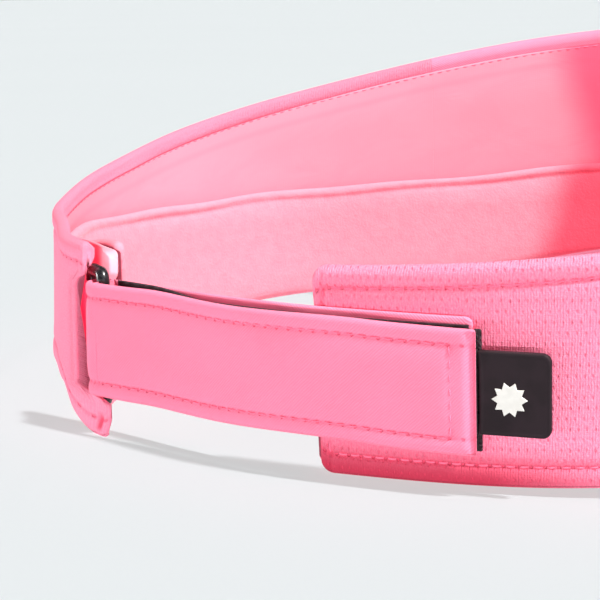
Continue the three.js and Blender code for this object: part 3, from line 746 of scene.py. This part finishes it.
def emblem_material():
    """Raised pale print with a slight tooth."""
    g = Graph("emblem_print")
    tooth = g.grain(7.0)
    color = g.grain(0.6).span(0.3, 0.7).mix(rgb(0.72, 0.7, 0.66), rgb(0.79, 0.77, 0.73))
    return g.finish(color, tooth.span(0.3, 0.7, 0.5, 0.62), g.bump(tooth, 0.02, 0.5))


def inner_material(name, color, scale):
    """Plain makings that lie inside: board and buckram."""
    g = Graph(name)
    grain = g.grain(scale, 3.0, 0.6)
    return g.finish(grain.span(0.35, 0.65).mix(scaled(color, 0.9), color), grain.span(0.3, 0.7, 0.6, 0.9),
                    g.bump(grain, 0.1, 0.5))


def floor_material():
    """Pale matte table with hardly any tone in it, partly lit from within."""
    g = Graph("table")
    tone = g.grain(0.002)
    color = tone.span(0.3, 0.7).mix(rgb(0.205, 0.218, 0.226), rgb(0.21, 0.223, 0.231))
    return g.finish(color, 0.95, Specular_IOR_Level=0.0, Emission_Color=rgb(0.955, 1.0, 1.0),
                    Emission_Strength=FLOOR_SHINE)


KNIT, KNIT_LEFT = knit_material("knit", 1.0), knit_material("knit_left", 0.25)
TWILL = twill_material("twill", [("low", STRAP_HEM), ("high", STRAP_HEM)], rgb(0.985, 0.214, 0.352), -1.0)
TWILL_PLAIN = twill_material("twill_plain")
# The ring's loop is darker red and glows strongly: painted light that keeps it lit in the slit's shade.
TWILL_LOOP = twill_material("twill_loop", color=rgb(0.9, 0.1, 0.17), glow=0.6)
TWILL_FRONT = twill_material("twill_front", [("high", HEM_TOP)])
LINING, PLUSH, THREAD = lining_material(), plush_material(), thread_material()
HOOKS, LOOPS = pile_material("hook_pile", True), pile_material("loop_pile", False)
RUBBER, PLASTIC, EMBLEM = rubber_material(), ring_material(), emblem_material()
BOARD = inner_material("bill_board_plastic", rgb(0.8, 0.8, 0.78), 0.4)
BUCKRAM = inner_material("buckram_weave", rgb(0.85, 0.84, 0.8), 2.0)

# ---- Band panels, linings and sweatband ----

END_STEPS = np.array([0, 0.08, 0.2, 0.36, 0.56, 0.8, 1.1, 1.5, 2.0, 2.6])  # closer columns where an end rounds off


def columns_between(low, high, step=0.8):
    """Angles evenly spaced along the arc, closer together at both ends."""
    a, b = arc_at(low), arc_at(high)
    inner = np.linspace(a + 3.2, b - 3.2, int((b - a - 6.4) / step) + 1)
    arcs = np.concatenate([a + END_STEPS, inner, b - END_STEPS[::-1]])
    return angle_at(arcs), arcs


def puckers(arc, pitch=STITCH):
    return 0.5 - 0.5 * np.cos(2 * np.pi * arc / pitch)


def hem_roll(distance, line):
    """The rounded hem between an edge and its stitched line."""
    return np.clip(1 - ((distance - line / 2) / (line / 2)) ** 2, 0, 1)


def hem_relief(low_line, high_line, end_lines=()):
    """Soft cloth over stitched hems: a roll outside each line, a groove at it, and a little puckering."""

    def relief(arc, from_low, from_high):
        height = 0.0
        for distance, line in ((from_low, low_line), (from_high, high_line)):
            if line is not None:
                groove = -(0.3 + 0.14 * puckers(arc)) * bell(distance - line, 0.55)
                height = height + 0.3 * hem_roll(distance, line) + groove + 0.12 * bell(distance - line - 1.6, 1.2)
        for at in end_lines:
            along = np.abs(arc - at)
            height = height - 0.4 * bell(along, 0.5) + 0.16 * bell(along - 1.2, 0.7)
        return height

    return relief


def band_panel(name, low_angle, high_angle, shift=None, outside=0.0, material=KNIT, relief=None,
               thickness=SHELL_THICKNESS, inset=(0, 0), ends=(0.8, 0.8), corner=(0, 0), inner=None,
               hem=(0.15, 1.15, 3.4, 4.4), stretch=None, fade_over=2.0):
    angles, arcs = columns_between(low_angle, high_angle)
    opened = pocket(angles) if shift else 0
    low = low_edge(angles) + inset[0] * (1 + 3 * opened)
    high = top_edge(angles) - inset[1] + max(inset[1] - 2.2, 0) * opened

    def place(columns, z, offset):
        moved = shift(columns, z) if shift else 0
        return band_point(columns + (stretch(columns, z) if stretch else 0), z, offset + moved)

    height = REAR_HEIGHT + 12
    rows = spaced_rows(height, [HEM_LOW, height - HEM_TOP])
    if shift:
        rows = sorted(set(rows + list(np.linspace(0, POCKET_FOOT_SHARE, 12))))
    return ribbon(place, name, angles, low, high, outside - thickness / 2, thickness, rows, rows, material,
                  relief, inner, ends, corner, along=arcs, hem=hem, fade_over=fade_over)


def left_relief(arc, from_low, from_high):
    """The left outer leaf: hems, a stitched line that turns down the end, a crease, and a fold at the foot."""
    height = 0.6 * hem_relief(HEM_LOW, HEM_TOP)(arc, from_low, from_high)
    from_end = LEFT_ARC - arc
    inside = smooth(from_high, HEM_TOP - 0.8, HEM_TOP)
    down = -0.3 * bell(from_end - 2.6, 0.55) * inside + 0.15 * bell(from_end - 1.2, 0.8) * inside
    crease = -0.18 * bell(from_end - 5.2, 0.7) * smooth(from_high, 5, 9) * smooth(from_low, 4, 12)
    fold = -0.6 * bell(from_end - 1.7, 0.35) * (1 - smooth(from_low, 4.5, 6.5)) * smooth(from_low, 1, 2.5)
    return height * smooth(from_end, 0.4, 2.6) + down + crease + fold


def left_end_roll(arc, from_low, from_high):
    """Its end is turned in, a soft roll above the ring. Beside the ring it is thin, so the ring can swing."""
    from_end = LEFT_ARC - arc
    top = 1 - smooth(from_high, 2.8, 4.6)
    return 0.5 * top * (1 - smooth(from_end, 1.2, 3.0)) - 0.8 * (1 - top) * (1 - smooth(from_end, 9, 15))


def inner_end_roll(arc, from_low, from_high):
    """The inner leaf's end is turned in too, a soft tongue behind the ring."""
    return 1.5 * smooth(arc, LEFT_ARC - 6.5, LEFT_ARC - 2.5)


RIGHT_STITCH = arc_at(RIGHT_END) + 2.0
RIGHT, LEFT = (RIGHT_END, PANEL_SEAM), (360 - PANEL_SEAM, 360 + LEFT_END)
FRONT = (PANEL_SEAM, 360 - PANEL_SEAM)
LINING_MAKE = dict(outside=LINING_OUTSIDE + 0.05, material=LINING, thickness=LINING_THICKNESS, inset=(0.5, 3.6),
                   hem=(0, 0, 1, 2))
for piece, node, slot in (
    (band_panel("right_panel", *RIGHT, relief=hem_relief(HEM_LOW, HEM_TOP, [RIGHT_STITCH]), ends=(0.9, 0),
                corner=(2.6, 0), thickness=1.25), "shell_right", "knit"),
    (band_panel("left_panel", *LEFT, shift=shell_shift, material=KNIT_LEFT, relief=left_relief,
                inner=left_end_roll, ends=(0, 0.7), corner=(0, 1.2), thickness=1.25, stretch=left_end_reach,
                fade_over=0.5), "shell_left", "knit"),
    (band_panel("front_panel", *FRONT, outside=1.1, thickness=2.3, material=TWILL_FRONT,
                relief=hem_relief(None, HEM_TOP), ends=(0, 0)), "shell_front", "twill"),
    (band_panel("right_lining", *RIGHT, ends=(0.7, 0), corner=(2.0, 0), **LINING_MAKE), "lining_right", "lining"),
    (band_panel("left_lining", LEFT[0], LEFT[1] - 0.8, shift=lining_shift, ends=(0, 1.1), corner=(0, 1.6),
                relief=inner_end_roll, fade_over=0.1, stretch=inner_end_reach, **LINING_MAKE),
     "lining_left", "lining"),
    (band_panel("front_lining", *FRONT, ends=(0, 0), **LINING_MAKE), "lining_front", "lining"),
):
    declare(piece, [node], "band")


def ridge_height(angle):
    """How high the sweatband's rolled edge stands over the base plane: it climbs towards the left end."""
    climb = 5.0 * smooth(angle, 258, 322) + 4.9 * smooth(angle, 324, 342)
    return 28.2 + climb + 1.4 * (1 - smooth(angle, 200, 222))


def sweatband_place(columns, z, offset):
    short = -3.2 * (1 - smooth(z, 8, 11)) * smooth(turned(columns), -22, LEFT_END)
    return band_point(columns + short, z, offset + lining_shift(columns, z))


def padded_sweatband():
    """A padded strip with a rolled upper edge, sewn below the roll, its face swelling towards the head."""
    angles, arcs = columns_between(21, 360 + LEFT_END - 0.6, 1.1)
    low = low_edge(angles) + 0.7
    high = base_plane(angles) + ridge_height(angles) + 0.25 * np.sin(arcs / 13) + 0.2 * np.sin(arcs / 6.1)

    def face(arc, from_low, from_high):
        line = RIDGE_LINE + 0.35 * np.sin(arc / 9)
        groove = -(0.3 + 0.12 * puckers(arc, 3 * STITCH) + 0.16 * np.sin(arc / 14)) * bell(from_high - line, 1.15)
        body = 0.45 * smooth(from_high, line, line + 5) * smooth(from_low, 0, 7)
        slow = 0.3 * np.sin(arc / 11 + 0.6 * np.sin(arc / 23)) * smooth(from_high, line, line + 6)
        return 0.15 * hem_roll(from_high, line) + groove + body + slow

    rows = spaced_rows(SWEATBAND_HEIGHT - 2, [SWEATBAND_HEIGHT - 2 - RIDGE_LINE])
    made = ribbon(sweatband_place, "padded_sweatband", angles, low, high, (SWEATBAND_FACE - 2.3) / 2, 2.5,
                  np.linspace(0, 1, 12), rows, PLUSH, None, face, (1.6, 1.6), (2, 2), 7, arcs)
    declare(made, ["sweatband_cover", "sweatband_foam"], "band")


padded_sweatband()


def band_stitching():
    threads = Threads()

    def rows(low_angle, high_angle, outside, low_line=True, shift=lambda angle, z: 0):
        a, b = arc_at(low_angle) + 1.6, arc_at(high_angle) - 1.6
        a, b = math.ceil(a / STITCH) * STITCH, math.floor(b / STITCH) * STITCH
        angles = angle_at(np.linspace(a, b, int((b - a) / 0.8)))
        place = lambda c, z, offset: band_point(c, z, offset + shift(c, z))
        threads.add(*surface_row(place, angles, top_edge(angles) - HEM_TOP, outside - 0.3))
        if low_line:
            angles = angles[angles < 360 + FOOT_START]
            threads.add(*surface_row(place, angles, low_edge(angles) + HEM_LOW, outside - 0.3))

    rows(*RIGHT, 0)
    rows(*FRONT, 1.1, low_line=False)
    rows(*LEFT, 0, shift=shell_shift)
    z = np.linspace(low_edge(RIGHT_END) + HEM_LOW, top_edge(RIGHT_END) - HEM_TOP, 40)
    threads.add(*surface_row(band_point, angle_at(RIGHT_STITCH), z, -0.32))
    for seam, toward_front in zip(FRONT, (1, -1)):
        for distance, outside in ((-2.0, 0.0), (2.0, 1.1)):
            angle = angle_at(arc_at(seam) + toward_front * distance)
            z = np.linspace(low_edge(angle) + 1.5, top_edge(angle) - 1.5, 60)
            threads.add(*surface_row(band_point, angle, z, outside + 0.02))
    threads.build("band_stitching", "band")
    inside = Threads()
    angles = angle_at(np.arange(arc_at(RIGHT_END) + 3, arc_at(320), 0.8))
    path, normals = surface_row(band_point, angles, top_edge(angles) - HEM_TOP, -2.12)
    inside.add(path, -normals, thickness=0.26, lift=0.0)
    inside.build("inside_stitching", "band")


band_stitching()

# ---- Bill ----


def bill_seam(across):
    angle = 180 - across * BILL_SPAN
    point, _, normal = plan_frame(angle)
    z = low_edge(angle) + BILL_HALF
    return standing(point + normal * (BILL_SEAM_OFFSET + FLARE * (z - base_plane(angle)))[..., None], z)


def bill_edge(across):
    """The rim: one curve from the tip to a corner, the same on both sides."""
    side = np.where(across < 0, -1.0, 1.0)
    tip, pull, shoulder = (np.stack([side * x, 0 * side + y, 0 * side + z], 1)
                           for x, y, z in (BILL_TIP, (BILL_FRONT_PULL, *BILL_TIP[1:]), BILL_SHOULDER))
    return bezier(np.abs(across)[:, None], tip, pull, shoulder, bill_seam(side))


def bill_length(across):
    return np.linalg.norm(bill_edge(across) - bill_seam(across), axis=1)


def bill_place(across, out, lift):
    """A point of the bill: across -1 to 1, out 0 at the seam to 1 at the rim, and a height over its middle."""
    seam, edge = bill_seam(across), bill_edge(across)
    return seam + (edge - seam) * out[:, None] + [0, 0, lift]


def bill_cover(name, side, node):
    """One cover of the bill: thin, following the board, with a rounded rim that closes over its edge."""
    across = np.linspace(-BILL_USED, BILL_USED, 161)
    rim = 1.9
    rim_share = rim / np.maximum(bill_length(across), rim * 1.5)
    rings = [(share * (1 - rim_share), side * BILL_HALF) for share in np.linspace(0, 1, 40)]
    for turn in np.linspace(0, math.pi / 2, 6)[1:]:
        rings.append((1 - rim_share * (1 - math.sin(turn)), side * (0.06 + (BILL_HALF - 0.06) * math.cos(turn))))
    rings += [(share * (1 - rim_share), side * (BILL_HALF - 0.75)) for share in np.linspace(1, 0, 14)]
    grid = np.stack([bill_place(across, out, lift) for out, lift in rings], 1)
    declare(tube_grid(name, grid, TWILL_PLAIN, {"cloth": grid[..., :2].copy()}), [node], "band")


bill_cover("bill_upper_cover", 1, "bill_top_cover")
bill_cover("bill_lower_cover", -1, "bill_under_cover")


def bill_stitching():
    threads = Threads()
    across = np.linspace(-BILL_USED + 0.01, BILL_USED - 0.01, 400)
    length_at = bill_length(across)
    for inset in (3.5, 10, 16.5, 23, 29.5, 36):
        keep = length_at > inset + 3
        for side in (1.0, -1.0):
            path = bill_place(across[keep], 1 - inset / length_at[keep], side * BILL_HALF)
            threads.add(path, np.tile([0, 0, side], (len(path), 1)), pitch=2.8, lift=0.06)
    threads.build("bill_stitching", "band")


bill_stitching()

# ---- Ring and its loop ----


def u_turn(centre, direction, radius, leg, distances):
    """Points and outward normals along a half turn with a straight leg at each end."""
    direction = unit(np.asarray(direction, float))
    arc = math.pi * radius
    turn = np.clip((distances - leg) / arc, 0, 1)[:, None] * math.pi
    normal = np.cos(turn) * rightward(direction) - np.sin(turn) * direction
    straight = np.clip(leg - distances, 0, None) + np.clip(distances - leg - arc, 0, None)
    return centre + normal * radius + straight[:, None] * direction, normal


def corner_arc(x, y, radius, start, steps):
    """A quarter turn about (x, y) from a start in degrees: its points, and the directions they lie in."""
    turn = np.radians(np.linspace(start, start + 90, steps))
    out = np.stack([np.cos(turn), np.sin(turn)], 1)
    return np.array([x, y]) + radius * out, out


def ring_wire():
    across = RING_BAR - RING_FIXED_BAR
    r, width, sides = RING_CORNER, np.linalg.norm(across), 20
    across = np.array([*across / width, 0])
    through = np.array([across[1], -across[0], 0])
    left, right, low, high = r, width - r, RING_LOW + r, RING_HIGH - r
    corners = [corner_arc(x, z, r, start, 10)
               for x, z, start in ((left, low, 180), (right, low, 270), (right, high, 0), (left, high, 90))]
    centre, out = (np.concatenate(part) @ np.stack([across, [0, 0, 1]]) for part in zip(*corners))
    a = 2 * math.pi * np.arange(sides)[:, None] / sides
    spokes = RING_WIRE * (np.cos(a) * out[:, None] + np.sin(a) * through)
    points = (centre + [*RING_FIXED_BAR, 0])[:, None] + spokes
    count = len(centre)
    faces = [(i * sides + s, j * sides + s, j * sides + n, i * sides + n)
             for i, j in zip(range(count), [*range(1, count), 0])
             for s, n in zip(range(sides), [*range(1, sides), 0])]
    declare(mesh_object("ring_wire", points.reshape(-1, 3), faces, PLASTIC), ["strap_ring"], "ring")


ring_wire()


def ring_loop():
    """The fabric loop that holds the ring's fixed bar inside the left band end."""
    _, tangent, _ = plan_frame(-18.0)
    leg, radius = 5.0, 1.85
    distances = np.linspace(0, 2 * leg + math.pi * radius, 60)
    path, normals = u_turn(RING_FIXED_BAR, -tangent, radius, leg, distances)

    def place(columns, z, offset):
        out = unit(on_path(columns, distances, normals))
        return standing(on_path(columns, distances, path) + out * offset[..., None], z)

    def soft(arc, from_low, from_high):
        return 0.06 * np.sin(from_low / 1.7 + arc / 2)

    rows = np.linspace(0, 1, 24)
    made = ribbon(place, "ring_loop", distances, 8.6, 30.4, 0.0, 0.5, rows, rows, TWILL_LOOP, soft, soft,
                  (0.4, 0.4))
    declare(made, ["ring_keeper"], "band")


ring_loop()

# ---- Strap ----

HEADING = unit(np.array([0.99, 0.13]))


def strap_middle():
    """The line midway between the strap's layers: a curve from the ring to the band, then along the band."""
    point, tangent, normal = plan_frame(angle_at(STRAP_ARRIVAL))
    landing = point + normal * STRAP_MIDDLE
    pull = np.linalg.norm(landing - RING_BAR) / 3
    curve = bezier(np.linspace(0, 1, 600)[:, None], RING_BAR, RING_BAR + HEADING * pull, landing - tangent * pull,
                   landing)
    reach = reach_along(curve)
    beyond = np.arange(0.2, 50, 0.2)
    q, _, n = plan_frame(angle_at(STRAP_ARRIVAL + beyond))
    return np.concatenate([curve, q + n * STRAP_MIDDLE]), np.concatenate([reach, reach[-1] + beyond]), reach[-1]


MIDDLE, MIDDLE_REACH, LANDING = strap_middle()
FREE_LENGTH = LANDING + STRAP_END - STRAP_ARRIVAL
SEWN_LENGTH = LANDING + STRAP_SEWN_END - STRAP_ARRIVAL
TURN_ARC = math.pi * STRAP_TURN
FOLD_LENGTH = STRAP_LEG + TURN_ARC  # the fold's inner leg and its turn, before the free layer starts
STRAP_TOTAL = FOLD_LENGTH + FREE_LENGTH
END_LINE = 4.2


def middle_at(distance):
    distance = np.asarray(distance, float)
    ahead, behind = (on_path(at, MIDDLE_REACH, MIDDLE) for at in (distance + 0.6, np.maximum(distance - 0.6, 0)))
    return on_path(distance, MIDDLE_REACH, MIDDLE), rightward(unit(ahead - behind))


def on_band(distance):
    return smooth(distance, 12, LANDING - 7)


def layer_spread(distance):
    return STRAP_TURN + (LAYER_SPREAD - STRAP_TURN) * smooth(distance, 0, 25)


def strap_place(distance, z, offset):
    point, normal = middle_at(distance)
    return standing(point + normal * np.asarray(offset + on_band(distance) * FLARE * z)[..., None], z)


def sewn_low(distance):
    return STRAP_LOW + STRAP_SEWN_RISE * on_band(distance)


def free_low(distance):
    sway = 0.22 * np.sin(distance / 7.5 + 0.6) * smooth(distance, 8, 20) * (1 - smooth(distance, 62, 76))
    return STRAP_LOW - STRAP_DROOP * smooth(distance, LANDING, FREE_LENGTH) + sway


def free_strap_place(along, z, offset):
    """The fold and the free layer as one cloth. along starts at the inner leg of the fold."""
    along, z, offset = (np.asarray(v, float) for v in (along, z, offset))
    distance = along - FOLD_LENGTH
    flat = distance.ravel()
    turn_point, turn_normal = u_turn(RING_BAR, HEADING, STRAP_TURN, STRAP_LEG,
                                     np.minimum(along.ravel(), FOLD_LENGTH))
    point, normal = middle_at(np.maximum(flat, 0))
    free = point + normal * layer_spread(np.maximum(flat, 0))[:, None]
    in_turn = (flat <= 0)[:, None]
    out = np.where(in_turn, turn_normal, normal) * (offset + on_band(distance) * FLARE * z).ravel()[:, None]
    return standing(np.where(in_turn, turn_point, free) + out, z.ravel()).reshape(along.shape + (3,))


def strap_relief(along, from_low, from_high):
    """Puffed cloth between the stitched rows, a roll along each edge, and the turned-in end."""
    from_end = STRAP_TOTAL - along
    height = 0.0
    near_end = smooth(from_end, END_LINE - 1.2, END_LINE + 0.4)
    inside, within_rows = (smooth(from_low, a, b) * smooth(from_high, a, b)
                           for a, b in ((STRAP_HEM - 0.4, STRAP_HEM + 4), (2.4, 3.4)))
    for distance in (from_low, from_high):
        groove = -(0.2 + 0.12 * puckers(along)) * bell(distance - STRAP_HEM, 0.5) * near_end
        height = height + groove + 0.14 * hem_roll(distance, STRAP_HEM)
    height = height + 0.26 * inside * near_end - 0.24 * bell(from_end - END_LINE, 0.5) * within_rows
    height = height + 0.05 * np.sin(along / 5 + from_low / 4) * inside
    return height - 1.25 * np.clip(1 - from_end / 1.9, 0, 1)


def strap_cloth():
    turn_length = FOLD_LENGTH + STRAP_LEG
    stations = np.concatenate([np.linspace(0, turn_length, 40), STRAP_TOTAL - END_STEPS[-2::-1],
                               np.arange(turn_length + 0.6, STRAP_TOTAL - 2.4, 0.6)])
    stations.sort()
    distance = stations - FOLD_LENGTH
    low = free_low(np.maximum(distance, 0))
    high = low + STRAP_WIDTH - 0.15 * smooth(distance, 20, 60)
    high += 0.1 * np.sin(distance / 9) * smooth(distance, 10, 20)
    rows = spaced_rows(STRAP_WIDTH, [STRAP_HEM, STRAP_WIDTH - STRAP_HEM], 1.1, 0.3, 1.2)
    made = ribbon(free_strap_place, "strap_cloth", stations, low, high, 0.0, STRAP_THICKNESS, rows,
                  np.linspace(0, 1, 16), TWILL, strap_relief, None, (0.3, 0.8), (0, 0.5),
                  hem=(STRAP_FACE, 0, 90, 99), fade_over=0.3)
    return declare(made, ["strap_fold", "strap_tail"])


def strap_stitching():
    threads = Threads()
    last = STRAP_TOTAL - END_LINE
    along = np.arange(math.ceil((FOLD_LENGTH + 1.2) / STITCH) * STITCH, last, 0.4)
    low = free_low(np.maximum(along - FOLD_LENGTH, 0))
    rows = (STRAP_HEM, STRAP_WIDTH - STRAP_HEM)
    for stations, heights, sunk in (*((along, low + height, 0.16) for height in rows),
                                    (last, low[-1] + np.linspace(*rows, 30), 0.0)):
        face = STRAP_THICKNESS / 2 + STRAP_FACE - sunk
        threads.add(*surface_row(free_strap_place, stations, heights, face), thickness=0.3)
    return threads.build("strap_stitching")


bend_start, bend_end = (tuple(row([*middle_at(at)[0], STRAP_LOW])) for at in (0.0, 15.0))
for piece in (strap_cloth(), strap_stitching()):
    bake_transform(piece)


def sewn_layer():
    """The strap's inner layer, sewn to the band's right end, with the loop tape on it."""
    stations = np.concatenate([np.arange(0.6, SEWN_LENGTH - 2.4, 1.0), SEWN_LENGTH - END_STEPS[-2::-1]])
    low = sewn_low(stations)
    rows = np.linspace(0, 1, 20)

    def relief(along, from_low, from_high):
        return 0.05 * np.sin(along / 4 + from_low / 3)

    base = ribbon(strap_place, "strap_inner_layer", stations, low, low + STRAP_WIDTH, -layer_spread(stations),
                  STRAP_THICKNESS, rows, rows, TWILL_PLAIN, relief, None, (0.3, 0.8), (0, 1.4))
    declare(base, ["strap_base"], "band")

    def pile(along, from_low, from_high):
        return 0.08 * np.sin(along * 2.1) * np.sin(from_low * 1.9) + 0.05 * np.sin(along * 5.3 + from_low * 3.1)

    stations = np.arange(2.6, SEWN_LENGTH - 0.4, 0.5)
    low = sewn_low(stations)
    high = low + STRAP_WIDTH + 0.2 - 1.5 * smooth(stations, 12, 30)
    middle = -layer_spread(stations) + STRAP_THICKNESS / 2 + TAPE_GAP + TAPE_THICKNESS / 2
    tape = ribbon(strap_place, "loop_pile", stations, low + 0.3, high, middle, TAPE_THICKNESS,
                  np.linspace(0, 1, 40), np.linspace(0, 1, 12), LOOPS, pile, None, (0.4, 0.4))
    declare(tape, ["loop_tape"], "band")


sewn_layer()


def hook_pile():
    """The hook tape on the free layer. Past the strap's end it shows as a dark edge."""
    stations = np.concatenate([np.arange(FREE_LENGTH - HOOK_LENGTH, FREE_LENGTH - 1.2, 0.5),
                               np.linspace(FREE_LENGTH - 1.2, FREE_LENGTH + 0.55, 10)])
    low = free_low(stations)
    tuck = 0.72 * smooth(stations, FREE_LENGTH - 1.4, FREE_LENGTH - 0.2)
    middle = layer_spread(stations) - STRAP_THICKNESS / 2 - 0.7 - TAPE_THICKNESS / 2 - tuck

    def pile(along, from_low, from_high):
        return 0.05 * np.sin(along * 2.6) * np.sin(from_low * 2.4)

    made = ribbon(strap_place, "hook_pile", stations, low + 0.35, low + STRAP_WIDTH - 0.5, middle, TAPE_THICKNESS,
                  np.linspace(0, 1, 12), np.linspace(0, 1, 40), HOOKS, None, pile, (0.4, 0.3), (0, 0.3))
    declare(made, ["hook_tape"], "flap")


hook_pile()

# ---- Pull tab ----


def rounded_plate(name, outline, levels, material, node):
    """A plate on the tab's plane. levels are (inset, height), from the back's middle round to the front's."""
    point, normal = middle_at(FREE_LENGTH + 0.3)
    x = np.array([-normal[1], normal[0], 0])
    y = unit(np.array([*normal * FLARE, 1]))
    origin = np.array([*point + normal * (TAB_OFFSET - STRAP_MIDDLE + FLARE * TAB_LOW), TAB_LOW])
    centre = outline.mean(0)
    span = outline - centre
    reach = np.linalg.norm(span, axis=1)[:, None]
    rings = []
    for inset, height in levels:
        flat = centre + span * np.clip(1 - inset / reach, 0.02, None)
        rings.append(origin + flat @ np.stack([x, y]) + height * np.cross(x, y))
    return declare(tube_grid(name, np.stack(rings), material), [node], "tab")


def pull_tab_plate():
    right = TAB_LENGTH - TAB_CORNER
    left_side = np.stack([np.zeros(8), TAB_HEIGHT * (1 - np.linspace(0, 1, 8))], 1)
    outline = np.concatenate([corner_arc(right, TAB_CORNER, TAB_CORNER, -90, 9)[0],
                              corner_arc(right, TAB_HEIGHT - TAB_CORNER, TAB_CORNER, 0, 9)[0], left_side])
    half, edge = TAB_THICKNESS / 2, 0.42
    bend = np.linspace(0, math.pi / 2, 6)
    levels = [(9, -half), (3, -half)]
    levels += [(edge * (1 - math.sin(b)), -half + edge * (1 - math.cos(b))) for b in bend]
    levels += [(edge * (1 - math.cos(b)), half - edge * (1 - math.sin(b))) for b in bend]
    levels += [(0.7, half), *((inset, half - 0.05) for inset in (0.86, 1.05, 3, 9))]
    rounded_plate("pull_tab_plate", outline, levels, RUBBER, "pull_tab")


def tab_sun():
    """A plain ten-pointed sun in raised print."""
    turn = math.pi * np.arange(20)[:, None] / 10
    reach = np.tile([[3.1], [2.2]], (10, 1))
    outline = np.array([5.4, 6.7]) + reach * np.concatenate([np.cos(turn), np.sin(turn)], 1)
    back = TAB_THICKNESS / 2 - 0.06
    levels = [(2.5, back), (0, back)]
    levels += [(inset, back + rise) for inset, rise in ((0, 0.26), (0.05, 0.31), (0.12, 0.33), (2.5, 0.33))]
    made = rounded_plate("tab_sun", outline, levels, EMBLEM, "tab_emblem")
    made.data.polygons.foreach_set("use_smooth", [False] * len(made.data.polygons))


pull_tab_plate()
tab_sun()

for node, material in (("front_stiffener", BUCKRAM), ("bill_board", BOARD), ("pull_tab_root", RUBBER)):
    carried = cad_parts[node]
    carried.data.materials.clear()
    carried.data.materials.append(material)

# ---- Table, light and camera ----


def table():
    reach = 60
    mesh = bpy.data.meshes.new("table")
    mesh.from_pydata([(-reach, -reach, 0), (reach, -reach, 0), (reach, reach, 0), (-reach, reach, 0)], [],
                     [(0, 1, 2, 3)])
    mesh.materials.append(floor_material())
    show("table", mesh)


def matrix_of(right, up, back, place):
    made = np.eye(4)
    made[:3] = np.stack([right, up, back, place], 1)
    return Matrix(made.tolist())


def add_camera():
    az, el, roll = (math.radians(v) for v in (CAMERA_AZIMUTH, CAMERA_ELEVATION, CAMERA_ROLL))
    back = np.array([math.sin(az) * math.cos(el), -math.cos(az) * math.cos(el), math.sin(el)])
    level = np.array([math.cos(az), math.sin(az), 0])
    upright = np.cross(back, level)
    right = math.cos(roll) * level + math.sin(roll) * upright
    up = -math.sin(roll) * level + math.cos(roll) * upright
    data = bpy.data.cameras.new("camera")
    data.sensor_width, data.lens = CAMERA_SENSOR, CAMERA_FOCAL
    data.clip_start, data.clip_end = 0.01, 200
    made = show("camera", data)
    made.matrix_world = matrix_of(right, up, back, row(CAMERA_PLACE))
    bpy.context.scene.camera = made


def light(name, kind, back, place=(0, 0, 1), **settings):
    """A light whose face is turned away from back and stands level."""
    data = bpy.data.lights.new(name, kind)
    for key, value in settings.items():
        setattr(data, key, value)
    made = show(name, data)
    back = unit(np.asarray(back, float))
    right = unit(np.cross([0, 0, 1], back))
    made.matrix_world = matrix_of(right, np.cross(back, right), back, place)
    return made


def sun(name, azimuth, elevation, strength, spread, color=(1, 1, 1)):
    """A distant soft light. azimuth is counted from +X round to +Y."""
    a, e = math.radians(azimuth), math.radians(elevation)
    back = (math.cos(a) * math.cos(e), math.sin(a) * math.cos(e), math.sin(e))
    return light(name, "SUN", back, energy=strength, angle=math.radians(spread), color=color)


def linked(lamp, kind, names, include):
    """Light linking: which objects this light falls on, or which of them cast its shadow."""
    group = bpy.data.collections.new(lamp.name + "_" + kind)
    for name in names:
        group.objects.link(bpy.data.objects[name])
    for entry in group.collection_objects:
        entry.light_linking.link_state = "INCLUDE" if include else "EXCLUDE"
    setattr(lamp.light_linking, kind + "_collection", group)


def card(name, place, back, width, height, power):
    """A long low card of light, below the top of the near band. It doesn't light the table."""
    made = light(name, "AREA", back, row(place), shape="RECTANGLE", size=width * MM, size_y=height * MM,
                 energy=power)
    made.visible_camera = False
    linked(made, "receiver", ["table"], False)


table()
add_camera()
key = sun("key", 11, 58, KEY, 8, (1, 0.97, 0.93))
linked(key, "receiver", ["table"], False)
table_key = sun("table_key", 7.5, 57, TABLE_KEY, 4)
linked(table_key, "receiver", ["table"], True)
NO_SHADOW_ON_TABLE = ["left_panel", "left_lining", "padded_sweatband", "band_stitching", "ring_loop"]
linked(table_key, "blocker", NO_SHADOW_ON_TABLE, False)
card("low_front_card", (20, -330, 10), (0, -1, 0), 620, 12, FRONT_CARD)
card("low_right_card", (430, -250, 12), (1, -0.35, 0), 320, 12, RIGHT_CARD)
sun("left_fill", -150, 4, LEFT_FILL, 16)

world = bpy.data.worlds.new("studio")
bpy.context.scene.world = world
world.use_nodes = True
world.node_tree.nodes["Background"].inputs[0].default_value = (0.94, 0.97, 1.0, 1)
world.node_tree.nodes["Background"].inputs[1].default_value = AMBIENT
bpy.context.scene.view_settings.view_transform = "Standard"
bpy.context.scene.view_settings.look = "None"
